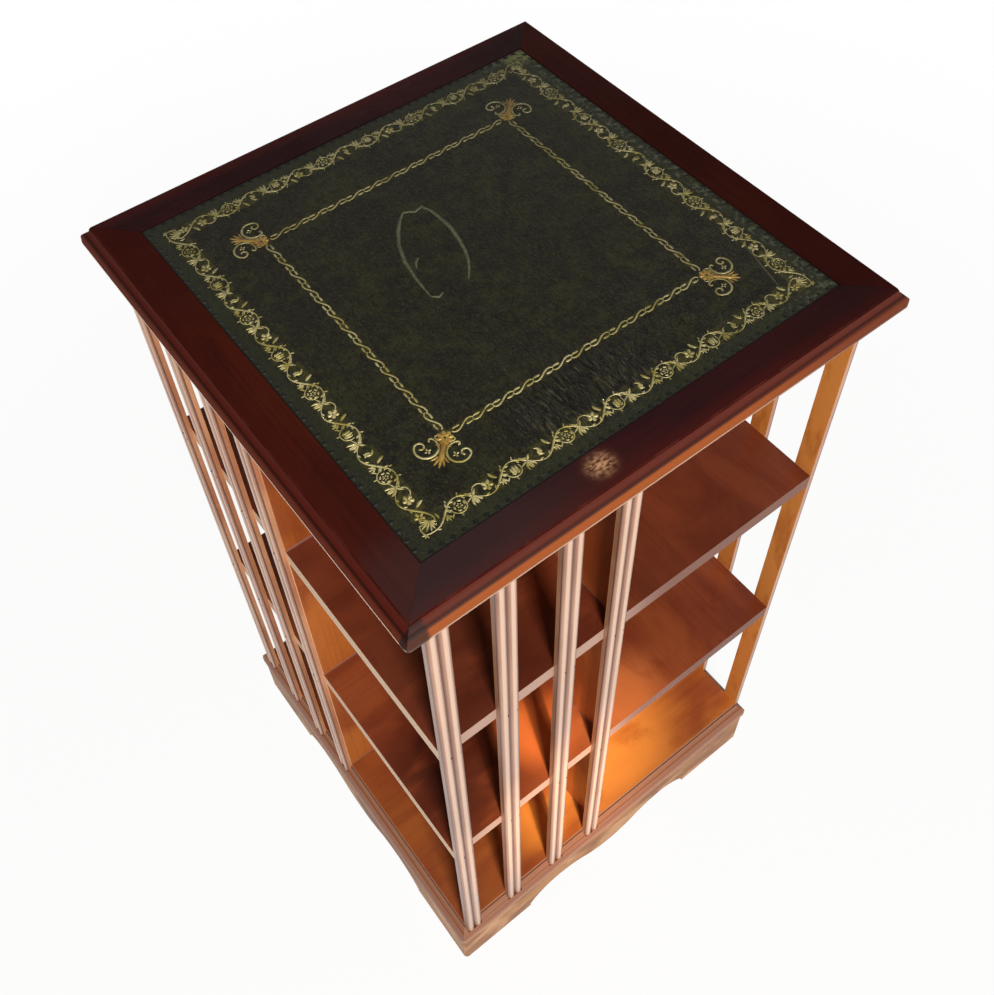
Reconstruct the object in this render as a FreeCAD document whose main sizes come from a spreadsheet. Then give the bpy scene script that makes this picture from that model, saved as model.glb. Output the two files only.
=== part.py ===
import FreeCAD, Part
import math
import os
import re
import Sketcher
from FreeCAD import Placement, Rotation, Vector

# Three-tier revolving bookcase.  Millimetres, +Z up, front is -Y, floor at Z = 0,
# the spindle stands on the Z axis.  Everything repeats four times round that axis.

SIZES = [
    ("height", 866.0, "floor to the flat of the top"),
    ("board", 18.0, "thickness of shelves, deck and top rails"),
    ("panel", 6.0, "thickness of the upright partitions"),
    ("tier_pitch", 256.0, "shelf top to shelf top"),
    ("case_half", 216.5, "centre to the shelf edges"),
    ("well_half", 19.6, "half width of the square well round the spindle"),
    ("top_reveal", 13.5, "arris of the top beyond the shelf edges"),
    ("top_lip", 9.2, "projection of the top moulding beyond the arris"),
    ("tip_radius", 5.0, "rounding of moulded corner tips in plan"),
    ("top_step", 1.6, "square step above the top moulding"),
    ("top_quirk", 0.9, "ledge below that step"),
    ("top_round", 1.6, "rounding of the under edge of the top moulding"),
    ("leather_border", 31.1, "arris of the top to the leather"),
    ("leather_thick", 1.2, "leather"),
    ("leather_sunk", 0.5, "leather below the flat of the top"),
    ("leather_play", 0.3, "gap round the leather"),
    ("slat_width", 19.6, "reeded slat"),
    ("slat_thick", 7.6, "slat at the crown of a reed"),
    ("slat_edge", 5.7, "slat at its long edges"),
    ("slat_valley", 5.2, "slat at the groove between the reeds"),
    ("reed_radius", 6.7, "curve of a reed"),
    ("slat_setback", 1.0, "last slat behind the open face of its partition"),
    ("slat_foot", 83.0, "height of the slat feet"),
    ("front_slat_drift", 3.0, "third slat of the front stands this far right"),
    ("bottom_thick", 26.0, "moulded bottom board"),
    ("bottom_top", 98.0, "floor to the top of the bottom board"),
    ("bottom_lip", 11.7, "projection of the bottom moulding"),
    ("bottom_fillet", 5.0, "square edge above the bottom moulding"),
    ("bottom_quirk", 1.2, "ledge below that square edge"),
    ("turn_out", 0.55, "end of the round of a moulding, share of its projection"),
    ("turn_drop", 0.62, "the same, downwards"),
    ("hollow_out", 0.92, "end of the hollow of a moulding, share of its projection"),
    ("hollow_drop", 1.26, "the same, downwards"),
    ("lip_drop", 1.36, "lip of a moulding below its step, share of its projection"),
    ("round_curve", 0.62, "radius of the round, share of the projection"),
    ("hollow_curve", 0.8, "radius of the hollow, share of the projection"),
    ("plinth_height", 68.0, "bracket plinth"),
    ("plinth_reveal", 9.9, "plinth beyond the shelf edges"),
    ("apron_thick", 18.0, "plinth apron"),
    ("foot_length", 99.4, "corner of the plinth to the inner end of a foot"),
    ("foot_return", 5.1, "upright end of a foot"),
    ("arch_reach", 45.0, "inner end of a foot to the crown of its arch"),
    ("arch_rise", 31.0, "crown of an arch above the floor"),
    ("drop_clear", 6.0, "centre drop above the floor"),
    ("shoulder_radius", 52.0, "arch shoulder next to the foot"),
    ("deck_top", 62.0, "top of the deck inside the plinth"),
    ("block_leg", 45.0, "corner block leg"),
    ("block_foot", 4.0, "corner blocks above the floor"),
    ("plate_half", 75.0, "half width of a swivel plate"),
    ("plate_thick", 2.0, "swivel plate"),
    ("plate_eye", 20.0, "centre hole of a swivel plate"),
    ("roller_circle", 55.0, "radius of the ring of rollers"),
    ("roller_radius", 2.7, "roller"),
    ("roller_length", 8.0, "roller"),
    ("roller_fit", 0.05, "clearance of a roller in its cage"),
    ("cage_half", 7.0, "half width of the cage ring"),
    ("cage_thick", 1.6, "cage ring"),
    ("spindle_radius", 8.0, "spindle"),
    ("spindle_fit", 0.06, "running clearance of the spindle"),
    ("thread_fit", 0.05, "clearance of nut and washer on the spindle"),
    ("spindle_chamfer", 1.0, "bevel at the top of the spindle"),
    ("spindle_top", 114.0, "top of the spindle"),
    ("flange_radius", 24.0, "spindle flange"),
    ("flange_thick", 4.0, "spindle flange"),
    ("bush_radius", 12.0, "outside of the bush"),
    ("washer_radius", 17.5, "washer"),
    ("washer_thick", 2.0, "washer"),
    ("washer_play", 0.3, "washer above the bush"),
    ("nut_flats", 24.0, "spindle nut across flats"),
    ("nut_thick", 9.0, "spindle nut"),
    ("margin", 2.0, "waste outlines run this far past the wood they cut"),
]

SLATS = 4
TIERS = 3
ROLLERS = 8
SIDES = ["front", "right", "back", "left"]

doc = FreeCAD.newDocument("revolving_bookcase")
sheet = doc.addObject("Spreadsheet::Sheet", "Sizes")
for row, (alias, size, note) in enumerate(SIZES, start=1):
    sheet.set("A%d" % row, note)
    sheet.set("B%d" % row, str(size))
    sheet.setAlias("B%d" % row, alias)
doc.recompute()
ALIASES = {entry[0] for entry in SIZES}


def bound(text):
    """Return an expression with every size name pointing at the sheet."""
    return re.sub("[a-z_]+", lambda word: "Sizes." + word[0] if word[0] in ALIASES
                  else word[0], text)


def value(text):
    """Return the number an expression gives now."""
    return float(sheet.evalExpression(bound(text)))


# Heights and widths that follow from the sizes above.
TOP_UNDER = "height - board"
BOTTOM_UNDER = "( bottom_top - bottom_thick )"
UPPER_PLATE = "( bottom_top - bottom_thick - plate_thick )"
ROLLER_LEVEL = "( ( deck_top + bottom_top - bottom_thick ) / 2 )"
SLAT_STEP = "( ( case_half - well_half - slat_setback - slat_width ) / %d )" % (SLATS - 1)
TOP_HALF = "( case_half + top_reveal )"
TOP_OUTER = "( case_half + top_reveal + top_lip )"
LEATHER_HALF = "( case_half + top_reveal - leather_border )"
RAIL_INNER = "( case_half + top_reveal - leather_border + leather_play )"
PLINTH_HALF = "( case_half + plinth_reveal )"
PLINTH_INNER = "( case_half + plinth_reveal - apron_thick )"
FOOT_INSIDE = "( case_half + plinth_reveal - foot_length )"
ARCH_PEAK = "( case_half + plinth_reveal - foot_length - arch_reach )"
BOTTOM_OUTER = "( case_half + bottom_lip )"


def new_body(label, compound=False):
    """Return an empty body; compound allows a group of separate solids."""
    body = doc.addObject("PartDesign::Body", label)
    body.Label = label
    body.AllowCompound = compound
    return body


def new_sketch(body, plane, name, offset="0"):
    """Return a sketch on one origin plane of the body, moved along the plane's normal."""
    sketch = body.newObject("Sketcher::SketchObject", body.Label + "_" + name)
    planes = {feature.Role: feature for feature in body.Origin.OriginFeatures}
    sketch.AttachmentSupport = (planes[plane], [""])
    sketch.MapMode = "FlatFace"
    if offset != "0":
        sketch.setExpression("AttachmentOffset.Base.z", bound(offset))
    return sketch


def pin_point(sketch, index, end, across, up):
    """Fix one point of a sketch by its two coordinates."""
    number = sketch.addConstraint(
        Sketcher.Constraint("DistanceX", -1, 1, index, end, value(across)))
    sketch.setExpression("Constraints[%d]" % number, bound(across))
    number = sketch.addConstraint(
        Sketcher.Constraint("DistanceY", -1, 1, index, end, value(up)))
    sketch.setExpression("Constraints[%d]" % number, bound(up))


def arc_between(start, finish, radius, left):
    """Return the short arc of a radius between two points and whether it runs forwards."""
    chord = finish - start
    middle = (start + finish) * 0.5
    rise = math.sqrt(max(radius ** 2 - (chord.Length / 2) ** 2, 0.0))
    normal = Vector(-chord.y, chord.x, 0).normalize()
    centre = middle + normal * (rise if left else -rise)
    begin, end = (start, finish) if left else (finish, start)
    first = math.atan2(begin.y - centre.y, begin.x - centre.x)
    last = math.atan2(end.y - centre.y, end.x - centre.x)
    if last < first:
        last += 2 * math.pi
    return Part.ArcOfCircle(Part.Circle(centre, Vector(0, 0, 1), radius), first, last), left


def outline(sketch, points, arcs=None):
    """Draw a closed outline.

    points: (across, up) expressions.  arcs: {number of the edge that starts at that
    point: (radius expression, True when the centre lies left of the direction)}.
    """
    arcs = arcs or {}
    count = len(points)
    spots = [Vector(value(across), value(up), 0) for across, up in points]
    ends = []
    for number in range(count):
        start, finish = spots[number], spots[(number + 1) % count]
        if number in arcs:
            radius, left = arcs[number]
            curve, forwards = arc_between(start, finish, value(radius), left)
            index = sketch.addGeometry(curve, False)
            ends.append((index, 1, 2) if forwards else (index, 2, 1))
        else:
            index = sketch.addGeometry(Part.LineSegment(start, finish), False)
            ends.append((index, 1, 2))
    for number in range(count):
        index, _, last = ends[number]
        after, first, _ = ends[(number + 1) % count]
        sketch.addConstraint(Sketcher.Constraint("Coincident", index, last, after, first))
    for number, (across, up) in enumerate(points):
        pin_point(sketch, ends[number][0], ends[number][1], across, up)
        if number in arcs:
            radius = arcs[number][0]
            rule = sketch.addConstraint(
                Sketcher.Constraint("Radius", ends[number][0], value(radius)))
            sketch.setExpression("Constraints[%d]" % rule, bound(radius))


def box_outline(sketch, left, right, low, high):
    """Draw a rectangle between four expressions."""
    outline(sketch, [(left, low), (right, low), (right, high), (left, high)])


def circle(sketch, across, up, radius):
    """Draw a circle with its centre and radius bound."""
    spot = Vector(value(across), value(up), 0)
    index = sketch.addGeometry(Part.Circle(spot, Vector(0, 0, 1), value(radius)), False)
    pin_point(sketch, index, 3, across, up)
    rule = sketch.addConstraint(Sketcher.Constraint("Radius", index, value(radius)))
    sketch.setExpression("Constraints[%d]" % rule, bound(radius))


def pad(body, sketch, length, backwards=False):
    """Pad a sketch by a bound length."""
    feature = body.newObject("PartDesign::Pad", sketch.Label + "_pad")
    feature.Profile = sketch
    feature.Reversed = backwards
    feature.setExpression("Length", bound(length))
    doc.recompute()
    return feature


def pocket(body, sketch, length, both=False, backwards=False):
    """Cut a sketch by a bound length; both cuts half of it to each side."""
    before = body.Shape.Volume
    feature = body.newObject("PartDesign::Pocket", sketch.Label + "_cut")
    feature.Profile = sketch
    feature.SideType = "Symmetric" if both else "One side"
    feature.Reversed = backwards
    feature.setExpression("Length", bound(length))
    doc.recompute()
    if not body.Shape.Volume < before - 1e-6:
        raise RuntimeError("nothing cut by " + feature.Label)
    return feature


def polar(body, feature, count):
    """Repeat a feature evenly round the Z axis of its body."""
    pattern = body.newObject("PartDesign::PolarPattern", feature.Label + "_ring")
    pattern.Originals = [feature]
    axes = {item.Role: item for item in body.Origin.OriginFeatures}
    pattern.Axis = (axes["Z_Axis"], [""])
    pattern.Angle = 360.0
    body.Tip = pattern
    pattern.Occurrences = count
    doc.recompute()
    return pattern


def turned(quarter, across, deep):
    """Return a plan position after some quarter turns, as two expressions."""
    minus_across, minus_deep = "- ( %s )" % across, "- ( %s )" % deep
    return [(across, deep), (minus_deep, across),
            (minus_across, minus_deep), (deep, minus_across)][quarter]


def place(body, quarter, across="0", deep="0", up="0"):
    """Stand a body at a front position turned by some quarters round Z."""
    body.Placement = Placement(Vector(), Rotation(Vector(0, 0, 1), 90 * quarter))
    east, north = turned(quarter, across, deep)
    for axis, text in (("x", east), ("y", north), ("z", up)):
        body.setExpression("Placement.Base." + axis, bound(text))


def slat_centre(number, quarter):
    """Return the centre line of a slat on one side, counted from its left."""
    text = "slat_width / 2 - case_half + %d * %s" % (number, SLAT_STEP)
    if quarter == 0 and number == 2:
        text += " + front_slat_drift"
    return text


def shelf_top(tier):
    """Return the top of a floor: tier 0 is the bottom board."""
    return "bottom_top + %d * tier_pitch" % tier


# ---------------------------------------------------------------- plinth

def apron(quarter):
    """Build one mitred apron with its two feet, two arches and centre drop."""
    body = new_body("apron_" + SIDES[quarter])
    plan = new_sketch(body, "XY_Plane", "plan")
    outer, inner = PLINTH_HALF, PLINTH_INNER
    outline(plan, [("- " + outer, "- " + outer), (outer, "- " + outer),
                   (inner, "- " + inner), ("- " + inner, "- " + inner)])
    pad(body, plan, "plinth_height")
    arch = new_sketch(body, "XZ_Plane", "arch")
    below = "- margin"
    middle = "( ( arch_rise + drop_clear ) / 2 )"
    half = "( %s / 2 )" % ARCH_PEAK
    swell = "( %s ^ 2 + ( ( arch_rise - drop_clear ) / 2 ) ^ 2 ) " \
            "/ ( arch_rise - drop_clear )" % half
    points = [("- " + FOOT_INSIDE, below), (FOOT_INSIDE, below),
              (FOOT_INSIDE, "foot_return"), (ARCH_PEAK, "arch_rise"),
              (half, middle), ("0", "drop_clear"), ("- " + half, middle),
              ("- " + ARCH_PEAK, "arch_rise"), ("- " + FOOT_INSIDE, "foot_return")]
    arcs = {2: ("shoulder_radius", True), 3: (swell, True), 4: (swell, False),
            5: (swell, False), 6: (swell, True), 7: ("shoulder_radius", True)}
    outline(arch, points, arcs)
    pocket(body, arch, "2 * ( %s + margin )" % outer, both=True)
    round_tips(body, outer)
    place(body, quarter)
    return body


def round_tips(body, reach):
    """Round both outer ends of a mitred front piece where it meets its neighbours."""
    sketch = new_sketch(body, "XY_Plane", "tips", "- margin")
    centre = "( %s - tip_radius )" % reach
    diagonal = "( %s + tip_radius * sqrt(0.5) )" % centre
    beyond = "( %s + margin )" % reach
    outline(sketch, [(centre, "- " + reach), (diagonal, "- " + diagonal),
                     (beyond, "- " + beyond), (centre, "- " + beyond)],
            {0: ("tip_radius", True)})
    outline(sketch, [("- " + centre, "- " + reach), ("- " + centre, "- " + beyond),
                     ("- " + beyond, "- " + beyond), ("- " + diagonal, "- " + diagonal)],
            {3: ("tip_radius", True)})
    pocket(body, sketch, "height + 2 * margin", backwards=True)


def corner_blocks():
    """Build the four glue blocks that stiffen the plinth and carry its deck."""
    body = new_body("corner_blocks", compound=True)
    sketch = new_sketch(body, "XY_Plane", "plan", "block_foot")
    inner = PLINTH_INNER
    shy = "( %s - block_leg )" % inner
    for east in ("", "- "):
        for north in ("", "- "):
            outline(sketch, [(east + inner, north + inner), (east + shy, north + inner),
                             (east + inner, north + shy)])
    pad(body, sketch, "deck_top - board - block_foot")
    return body


def plinth_deck():
    """Build the board let in between the aprons and bored for the spindle."""
    body = new_body("plinth_deck")
    plan = new_sketch(body, "XY_Plane", "plan", "deck_top - board")
    inner = PLINTH_INNER
    box_outline(plan, "- " + inner, inner, "- " + inner, inner)
    pad(body, plan, "board")
    hole = new_sketch(body, "XY_Plane", "hole", "deck_top - board - margin")
    circle(hole, "0", "0", "spindle_radius + spindle_fit")
    pocket(body, hole, "board + 2 * margin", backwards=True)
    return body


def swivel_plate(label, low):
    """Build one pressed plate of the swivel."""
    body = new_body(label)
    plan = new_sketch(body, "XY_Plane", "plan", low)
    corner = "tip_radius"
    near = "( plate_half - tip_radius )"
    outline(plan, [("- " + near, "- plate_half"), (near, "- plate_half"),
                   ("plate_half", "- " + near), ("plate_half", near),
                   (near, "plate_half"), ("- " + near, "plate_half"),
                   ("- plate_half", near), ("- plate_half", "- " + near)],
            {1: (corner, True), 3: (corner, True), 5: (corner, True), 7: (corner, True)})
    circle(plan, "0", "0", "plate_eye")
    pad(body, plan, "plate_thick")
    return body


def roller_cage():
    """Build the ring that spaces the rollers."""
    body = new_body("roller_cage")
    low = ROLLER_LEVEL + " - cage_thick / 2"
    plan = new_sketch(body, "XY_Plane", "plan", low)
    circle(plan, "0", "0", "roller_circle + cage_half")
    circle(plan, "0", "0", "roller_circle - cage_half")
    pad(body, plan, "cage_thick")
    seat = new_sketch(body, "XY_Plane", "seat", low)
    length = "roller_length / 2 + roller_fit"
    width = "( roller_radius + roller_fit )"
    box_outline(seat, "roller_circle - ( %s )" % length, "roller_circle + %s" % length,
                "- " + width, width)
    polar(body, pocket(body, seat, "cage_thick", backwards=True), ROLLERS)
    return body


def rollers():
    """Build the ring of rollers, each lying along a radius."""
    body = new_body("rollers", compound=True)
    sketch = new_sketch(body, "YZ_Plane", "round", "roller_circle - roller_length / 2")
    circle(sketch, "0", ROLLER_LEVEL, "roller_radius")
    polar(body, pad(body, sketch, "roller_length"), ROLLERS)
    return body


def turned_part(label, points):
    """Build a solid of revolution round Z from its half section."""
    body = new_body(label)
    sketch = new_sketch(body, "XZ_Plane", "half")
    outline(sketch, points)
    feature = body.newObject("PartDesign::Revolution", label + "_turn")
    feature.Profile = sketch
    feature.ReferenceAxis = (sketch, ["V_Axis"])
    feature.Angle = 360.0
    doc.recompute()
    return body


def ring_part(label, inner, outer, low, high):
    """Build a plain ring between two radii and two levels."""
    return turned_part(label, [(inner, low), (outer, low), (outer, high), (inner, high)])


def spindle():
    """Build the flanged spindle that stands up from the deck."""
    under = "( deck_top - board )"
    return turned_part("spindle", [
        ("0", under + " - flange_thick"), ("flange_radius", under + " - flange_thick"),
        ("flange_radius", under), ("spindle_radius", under),
        ("spindle_radius", "spindle_top - spindle_chamfer"),
        ("spindle_radius - spindle_chamfer", "spindle_top"),
        ("0", "spindle_top")])


def spindle_nut():
    """Build the hexagonal nut on the spindle."""
    body = new_body("spindle_nut")
    sketch = new_sketch(body, "XY_Plane", "plan",
                        "bottom_top + washer_play + washer_thick")
    outline(sketch, [("nut_flats / sqrt(3) * cos(%d)" % angle,
                      "nut_flats / sqrt(3) * sin(%d)" % angle)
                     for angle in range(0, 360, 60)])
    circle(sketch, "0", "0", "spindle_radius + thread_fit")
    pad(body, sketch, "nut_thick")
    return body


# ---------------------------------------------------------------- carcase

def ogee(reach, lip, top, step, quirk):
    """Return a moulding section from arris to underside lip, outwards being negative.

    reach is the arris, lip the projection, top the level of the arris, step the depth of
    the square fillet and quirk its ledge.  The two arcs are a convex and a concave one.
    """
    def corner(across, down):
        return "- ( %s + %s )" % (reach, across), "%s - %s" % (top, down)

    return [
        corner("0", "0"),
        corner("0", step),
        corner(quirk, step),
        corner("%s * turn_out" % lip, "%s - %s * turn_drop" % (step, lip)),
        corner("%s * hollow_out" % lip, "%s - %s * hollow_drop" % (step, lip)),
        corner(lip, "%s - %s * lip_drop" % (step, lip)),
    ]


def ogee_curves(lip, left):
    """Return the round and the hollow of a moulding section drawn on one side."""
    return {2: (lip + " * round_curve", not left), 3: (lip + " * hollow_curve", left)}


def bottom_board():
    """Build the moulded bottom board, notched for the slats and bored for the bush."""
    body = new_body("bottom_board")
    plan = new_sketch(body, "XY_Plane", "plan", BOTTOM_UNDER)
    outer = BOTTOM_OUTER
    box_outline(plan, "- " + outer, outer, "- " + outer, outer)
    pad(body, plan, "bottom_thick")
    section = ogee("case_half", "bottom_lip", "bottom_top", "bottom_fillet", "bottom_quirk")
    beyond = ("- ( %s + margin )" % outer, section[-1][1])
    corner = ("- ( %s + margin )" % outer, "bottom_top + margin")
    above = (section[0][0], "bottom_top + margin")
    left = section + [beyond, corner, above]
    right = [("- ( %s )" % across, up) for across, up in left]
    for plane in ("YZ_Plane", "XZ_Plane"):
        waste = new_sketch(body, plane, "moulding_" + plane[:2])
        outline(waste, left, ogee_curves("bottom_lip", True))
        outline(waste, right, ogee_curves("bottom_lip", False))
        pocket(body, waste, "2 * ( %s + margin )" % outer, both=True)
    round_square(body, outer)
    for quarter in range(4):
        notch = new_sketch(body, "XY_Plane", "notch_%d" % quarter, "bottom_top + margin")
        for number in range(SLATS):
            middle = slat_centre(number, quarter)
            corners = [("%s - slat_width / 2" % middle, "- case_half"),
                       ("%s - slat_width / 2" % middle, "- case_half - slat_thick"),
                       ("%s + slat_width / 2" % middle, "- case_half - slat_thick"),
                       ("%s + slat_width / 2" % middle, "- case_half")]
            outline(notch, [turned(quarter, across, deep) for across, deep in corners])
        pocket(body, notch, "bottom_top + margin - slat_foot")
    hole = new_sketch(body, "XY_Plane", "bush", "bottom_top + margin")
    circle(hole, "0", "0", "bush_radius")
    pocket(body, hole, "bottom_thick + 2 * margin")
    return body


def round_square(body, reach):
    """Round the four corner tips of a square board."""
    sketch = new_sketch(body, "XY_Plane", "tips", "- margin")
    centre = "( %s - tip_radius )" % reach
    beyond = "( %s + margin )" % reach
    outline(sketch, [(centre, "- " + reach), (reach, "- " + centre),
                     (beyond, "- " + centre), (beyond, "- " + beyond),
                     (centre, "- " + beyond)], {0: ("tip_radius", True)})
    polar(body, pocket(body, sketch, "height + 2 * margin", backwards=True), 4)


def partition(quarter):
    """Build one upright that runs from the front edge to its neighbour's face."""
    body = new_body("partition_" + SIDES[quarter])
    plan = new_sketch(body, "XY_Plane", "plan", "bottom_top")
    box_outline(plan, "- well_half - panel", "- well_half", "- case_half", "well_half")
    pad(body, plan, TOP_UNDER + " - bottom_top")
    place(body, quarter)
    return body


def shelf(quarter, tier):
    """Build one shelf; its front edge carries the slats, its left edge is open."""
    names = {1: "lower", 2: "upper"}
    body = new_body("shelf_%s_%s" % (names[tier], SIDES[quarter]))
    plan = new_sketch(body, "XY_Plane", "plan", shelf_top(tier) + " - board")
    box_outline(plan, "- case_half", "- well_half - panel", "- case_half", "well_half")
    pad(body, plan, "board")
    place(body, quarter)
    return body


def slat(quarter, number):
    """Build one slat: a flat back and two reeds with a groove between."""
    body = new_body("slat_%s_%d" % (SIDES[quarter], number + 1))
    section = new_sketch(body, "XY_Plane", "section")
    outline(section, [("- slat_width / 2", "0"), ("- slat_width / 2", "- slat_edge"),
                      ("0", "- slat_valley"), ("slat_width / 2", "- slat_edge"),
                      ("slat_width / 2", "0")],
            {1: ("reed_radius", True), 2: ("reed_radius", True)})
    pad(body, section, TOP_UNDER + " - slat_foot")
    place(body, quarter, slat_centre(number, quarter), "- case_half", "slat_foot")
    return body


def top_rail(quarter):
    """Build one mitred, moulded rail of the top."""
    body = new_body("top_rail_" + SIDES[quarter])
    plan = new_sketch(body, "XY_Plane", "plan", TOP_UNDER)
    inner, outer = RAIL_INNER, TOP_OUTER
    outline(plan, [("- " + outer, "- " + outer), (outer, "- " + outer),
                   (inner, "- " + inner), ("- " + inner, "- " + inner)])
    pad(body, plan, "board")
    section = ogee(TOP_HALF, "top_lip", "height", "top_step", "top_quirk")
    waste = new_sketch(body, "YZ_Plane", "moulding")
    edge = "- ( %s + margin )" % outer
    outline(waste, section + [(edge, section[-1][1]), (edge, "height + margin"),
                              (section[0][0], "height + margin")],
            ogee_curves("top_lip", True))
    pocket(body, waste, "2 * ( %s + margin )" % outer, both=True)
    lip = new_sketch(body, "YZ_Plane", "lip")
    inset = "- ( %s - top_round )" % outer
    outline(lip, [(inset, TOP_UNDER), ("- ( %s )" % outer, TOP_UNDER + " + top_round"),
                  (edge, TOP_UNDER + " + top_round"), (edge, TOP_UNDER + " - margin"),
                  (inset, TOP_UNDER + " - margin")], {0: ("top_round", False)})
    pocket(body, lip, "2 * ( %s + margin )" % outer, both=True)
    round_tips(body, outer)
    place(body, quarter)
    return body


def square_panel(label, half, low, thick):
    """Build a plain square sheet."""
    body = new_body(label)
    plan = new_sketch(body, "XY_Plane", "plan", low)
    box_outline(plan, "- " + half, half, "- " + half, half)
    pad(body, plan, thick)
    return body


def build():
    """Build every sub-part and return them in order."""
    parts = [apron(quarter) for quarter in range(4)]
    parts += [corner_blocks(), plinth_deck(), spindle()]
    parts.append(swivel_plate("swivel_plate_lower", "deck_top"))
    parts.append(ring_part("spindle_washer", "spindle_radius + thread_fit", "washer_radius",
                           "bottom_top + washer_play",
                           "bottom_top + washer_play + washer_thick"))
    parts.append(spindle_nut())
    parts += [roller_cage(), rollers()]
    parts.append(swivel_plate("swivel_plate_upper", UPPER_PLATE))
    parts.append(ring_part("spindle_bush", "spindle_radius + spindle_fit", "bush_radius",
                           BOTTOM_UNDER, "bottom_top"))
    parts.append(bottom_board())
    parts += [partition(quarter) for quarter in range(4)]
    parts += [shelf(quarter, tier) for tier in range(1, TIERS) for quarter in range(4)]
    parts += [top_rail(quarter) for quarter in range(4)]
    parts.append(square_panel("top_panel", RAIL_INNER, TOP_UNDER,
                              "board - leather_sunk - leather_thick"))
    parts.append(square_panel("leather", LEATHER_HALF,
                              "height - leather_sunk - leather_thick", "leather_thick"))
    parts += [slat(quarter, number) for quarter in range(4) for number in range(SLATS)]
    doc.recompute()
    return parts


def check(parts):
    """Stop when any object failed or any sub-part is not a valid solid."""
    for item in doc.Objects:
        if "Invalid" in item.State or "Error" in item.State:
            raise RuntimeError("%s is %s" % (item.Label, item.State))
    for part in parts:
        shape = part.Shape
        if shape.isNull() or not shape.isValid() or not shape.Solids:
            raise RuntimeError("bad shape in " + part.Label)


parts = build()
check(parts)
os.makedirs("parts", exist_ok=True)
for part in parts:
    part.Shape.exportStep("parts/%s.step" % part.Label)
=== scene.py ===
"""Finish and light a three-tier revolving bookcase with a gilt-tooled leather top."""

import logging
import math
from dataclasses import dataclass, field, replace
from enum import Enum
from typing import Any

import bpy
from mathutils import Matrix, Vector


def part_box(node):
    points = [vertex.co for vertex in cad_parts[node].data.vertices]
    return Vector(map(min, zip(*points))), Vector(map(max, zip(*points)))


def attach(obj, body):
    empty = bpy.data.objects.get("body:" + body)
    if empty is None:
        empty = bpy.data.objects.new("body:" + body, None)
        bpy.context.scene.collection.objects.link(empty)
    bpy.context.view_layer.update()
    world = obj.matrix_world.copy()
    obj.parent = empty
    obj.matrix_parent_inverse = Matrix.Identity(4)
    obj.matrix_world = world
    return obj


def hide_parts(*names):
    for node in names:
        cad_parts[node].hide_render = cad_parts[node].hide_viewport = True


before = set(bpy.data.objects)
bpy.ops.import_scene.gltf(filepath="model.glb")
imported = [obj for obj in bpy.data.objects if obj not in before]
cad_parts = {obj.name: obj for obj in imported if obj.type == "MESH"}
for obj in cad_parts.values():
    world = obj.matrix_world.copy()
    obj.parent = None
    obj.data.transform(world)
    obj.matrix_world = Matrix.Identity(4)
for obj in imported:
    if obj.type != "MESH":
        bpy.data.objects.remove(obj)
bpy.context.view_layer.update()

MM = 0.001
SIDES = ("front", "right", "back", "left")
PAIRS = (("front", "back"), ("right", "left"))
Socket = bpy.types.NodeSocket
Step = tuple[Socket, float, float]
Colour = tuple[float, float, float, float]
Oval = tuple[tuple[float, float], tuple[float, float]]
Patch = tuple[str, float, tuple[float, float], tuple[float, float]]
Moulding = tuple[tuple[float, float, str, float], ...]
log = logging.getLogger("bookcase")


class Run(Enum):
    """The way that the grain of a board runs."""

    X = 0
    Y = 1
    Z = 2


def linear(code: str) -> Colour:
    """Turn an sRGB hex colour to linear light.

    Args:
        code: Six hex digits after a hash sign.

    Returns:
        Red, green, blue and full opacity.
    """
    parts = [int(code[place:place + 2], 16) / 255 for place in (1, 3, 5)]
    red, green, blue = [part / 12.92 if part <= 0.04045 else ((part + 0.055) / 1.055) ** 2.4
                        for part in parts]
    return red, green, blue, 1.0


def add_node(tree: bpy.types.NodeTree, kind: str, inputs: dict[str | int, Any] | None = None,
             output: str | int = 0, **settings: Any) -> Socket:
    """Add one node with its settings, constants and links.

    Args:
        tree: The node tree that gets the node.
        kind: Blender's name for the node type, without its prefix.
        inputs: A constant or a feeding socket for each of its inputs.
        output: The output to return.
        settings: Properties of the node itself.

    Returns:
        One output of the new node.
    """
    node = tree.nodes.new("ShaderNode" + kind)
    for name, setting in settings.items():
        setattr(node, name, setting)
    for name, given in (inputs or {}).items():
        if isinstance(given, Socket):
            tree.links.new(given, node.inputs[name])
        else:
            node.inputs[name].default_value = given
    return node.outputs[output]


# ------------------------------------------------------------------ finishes


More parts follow.
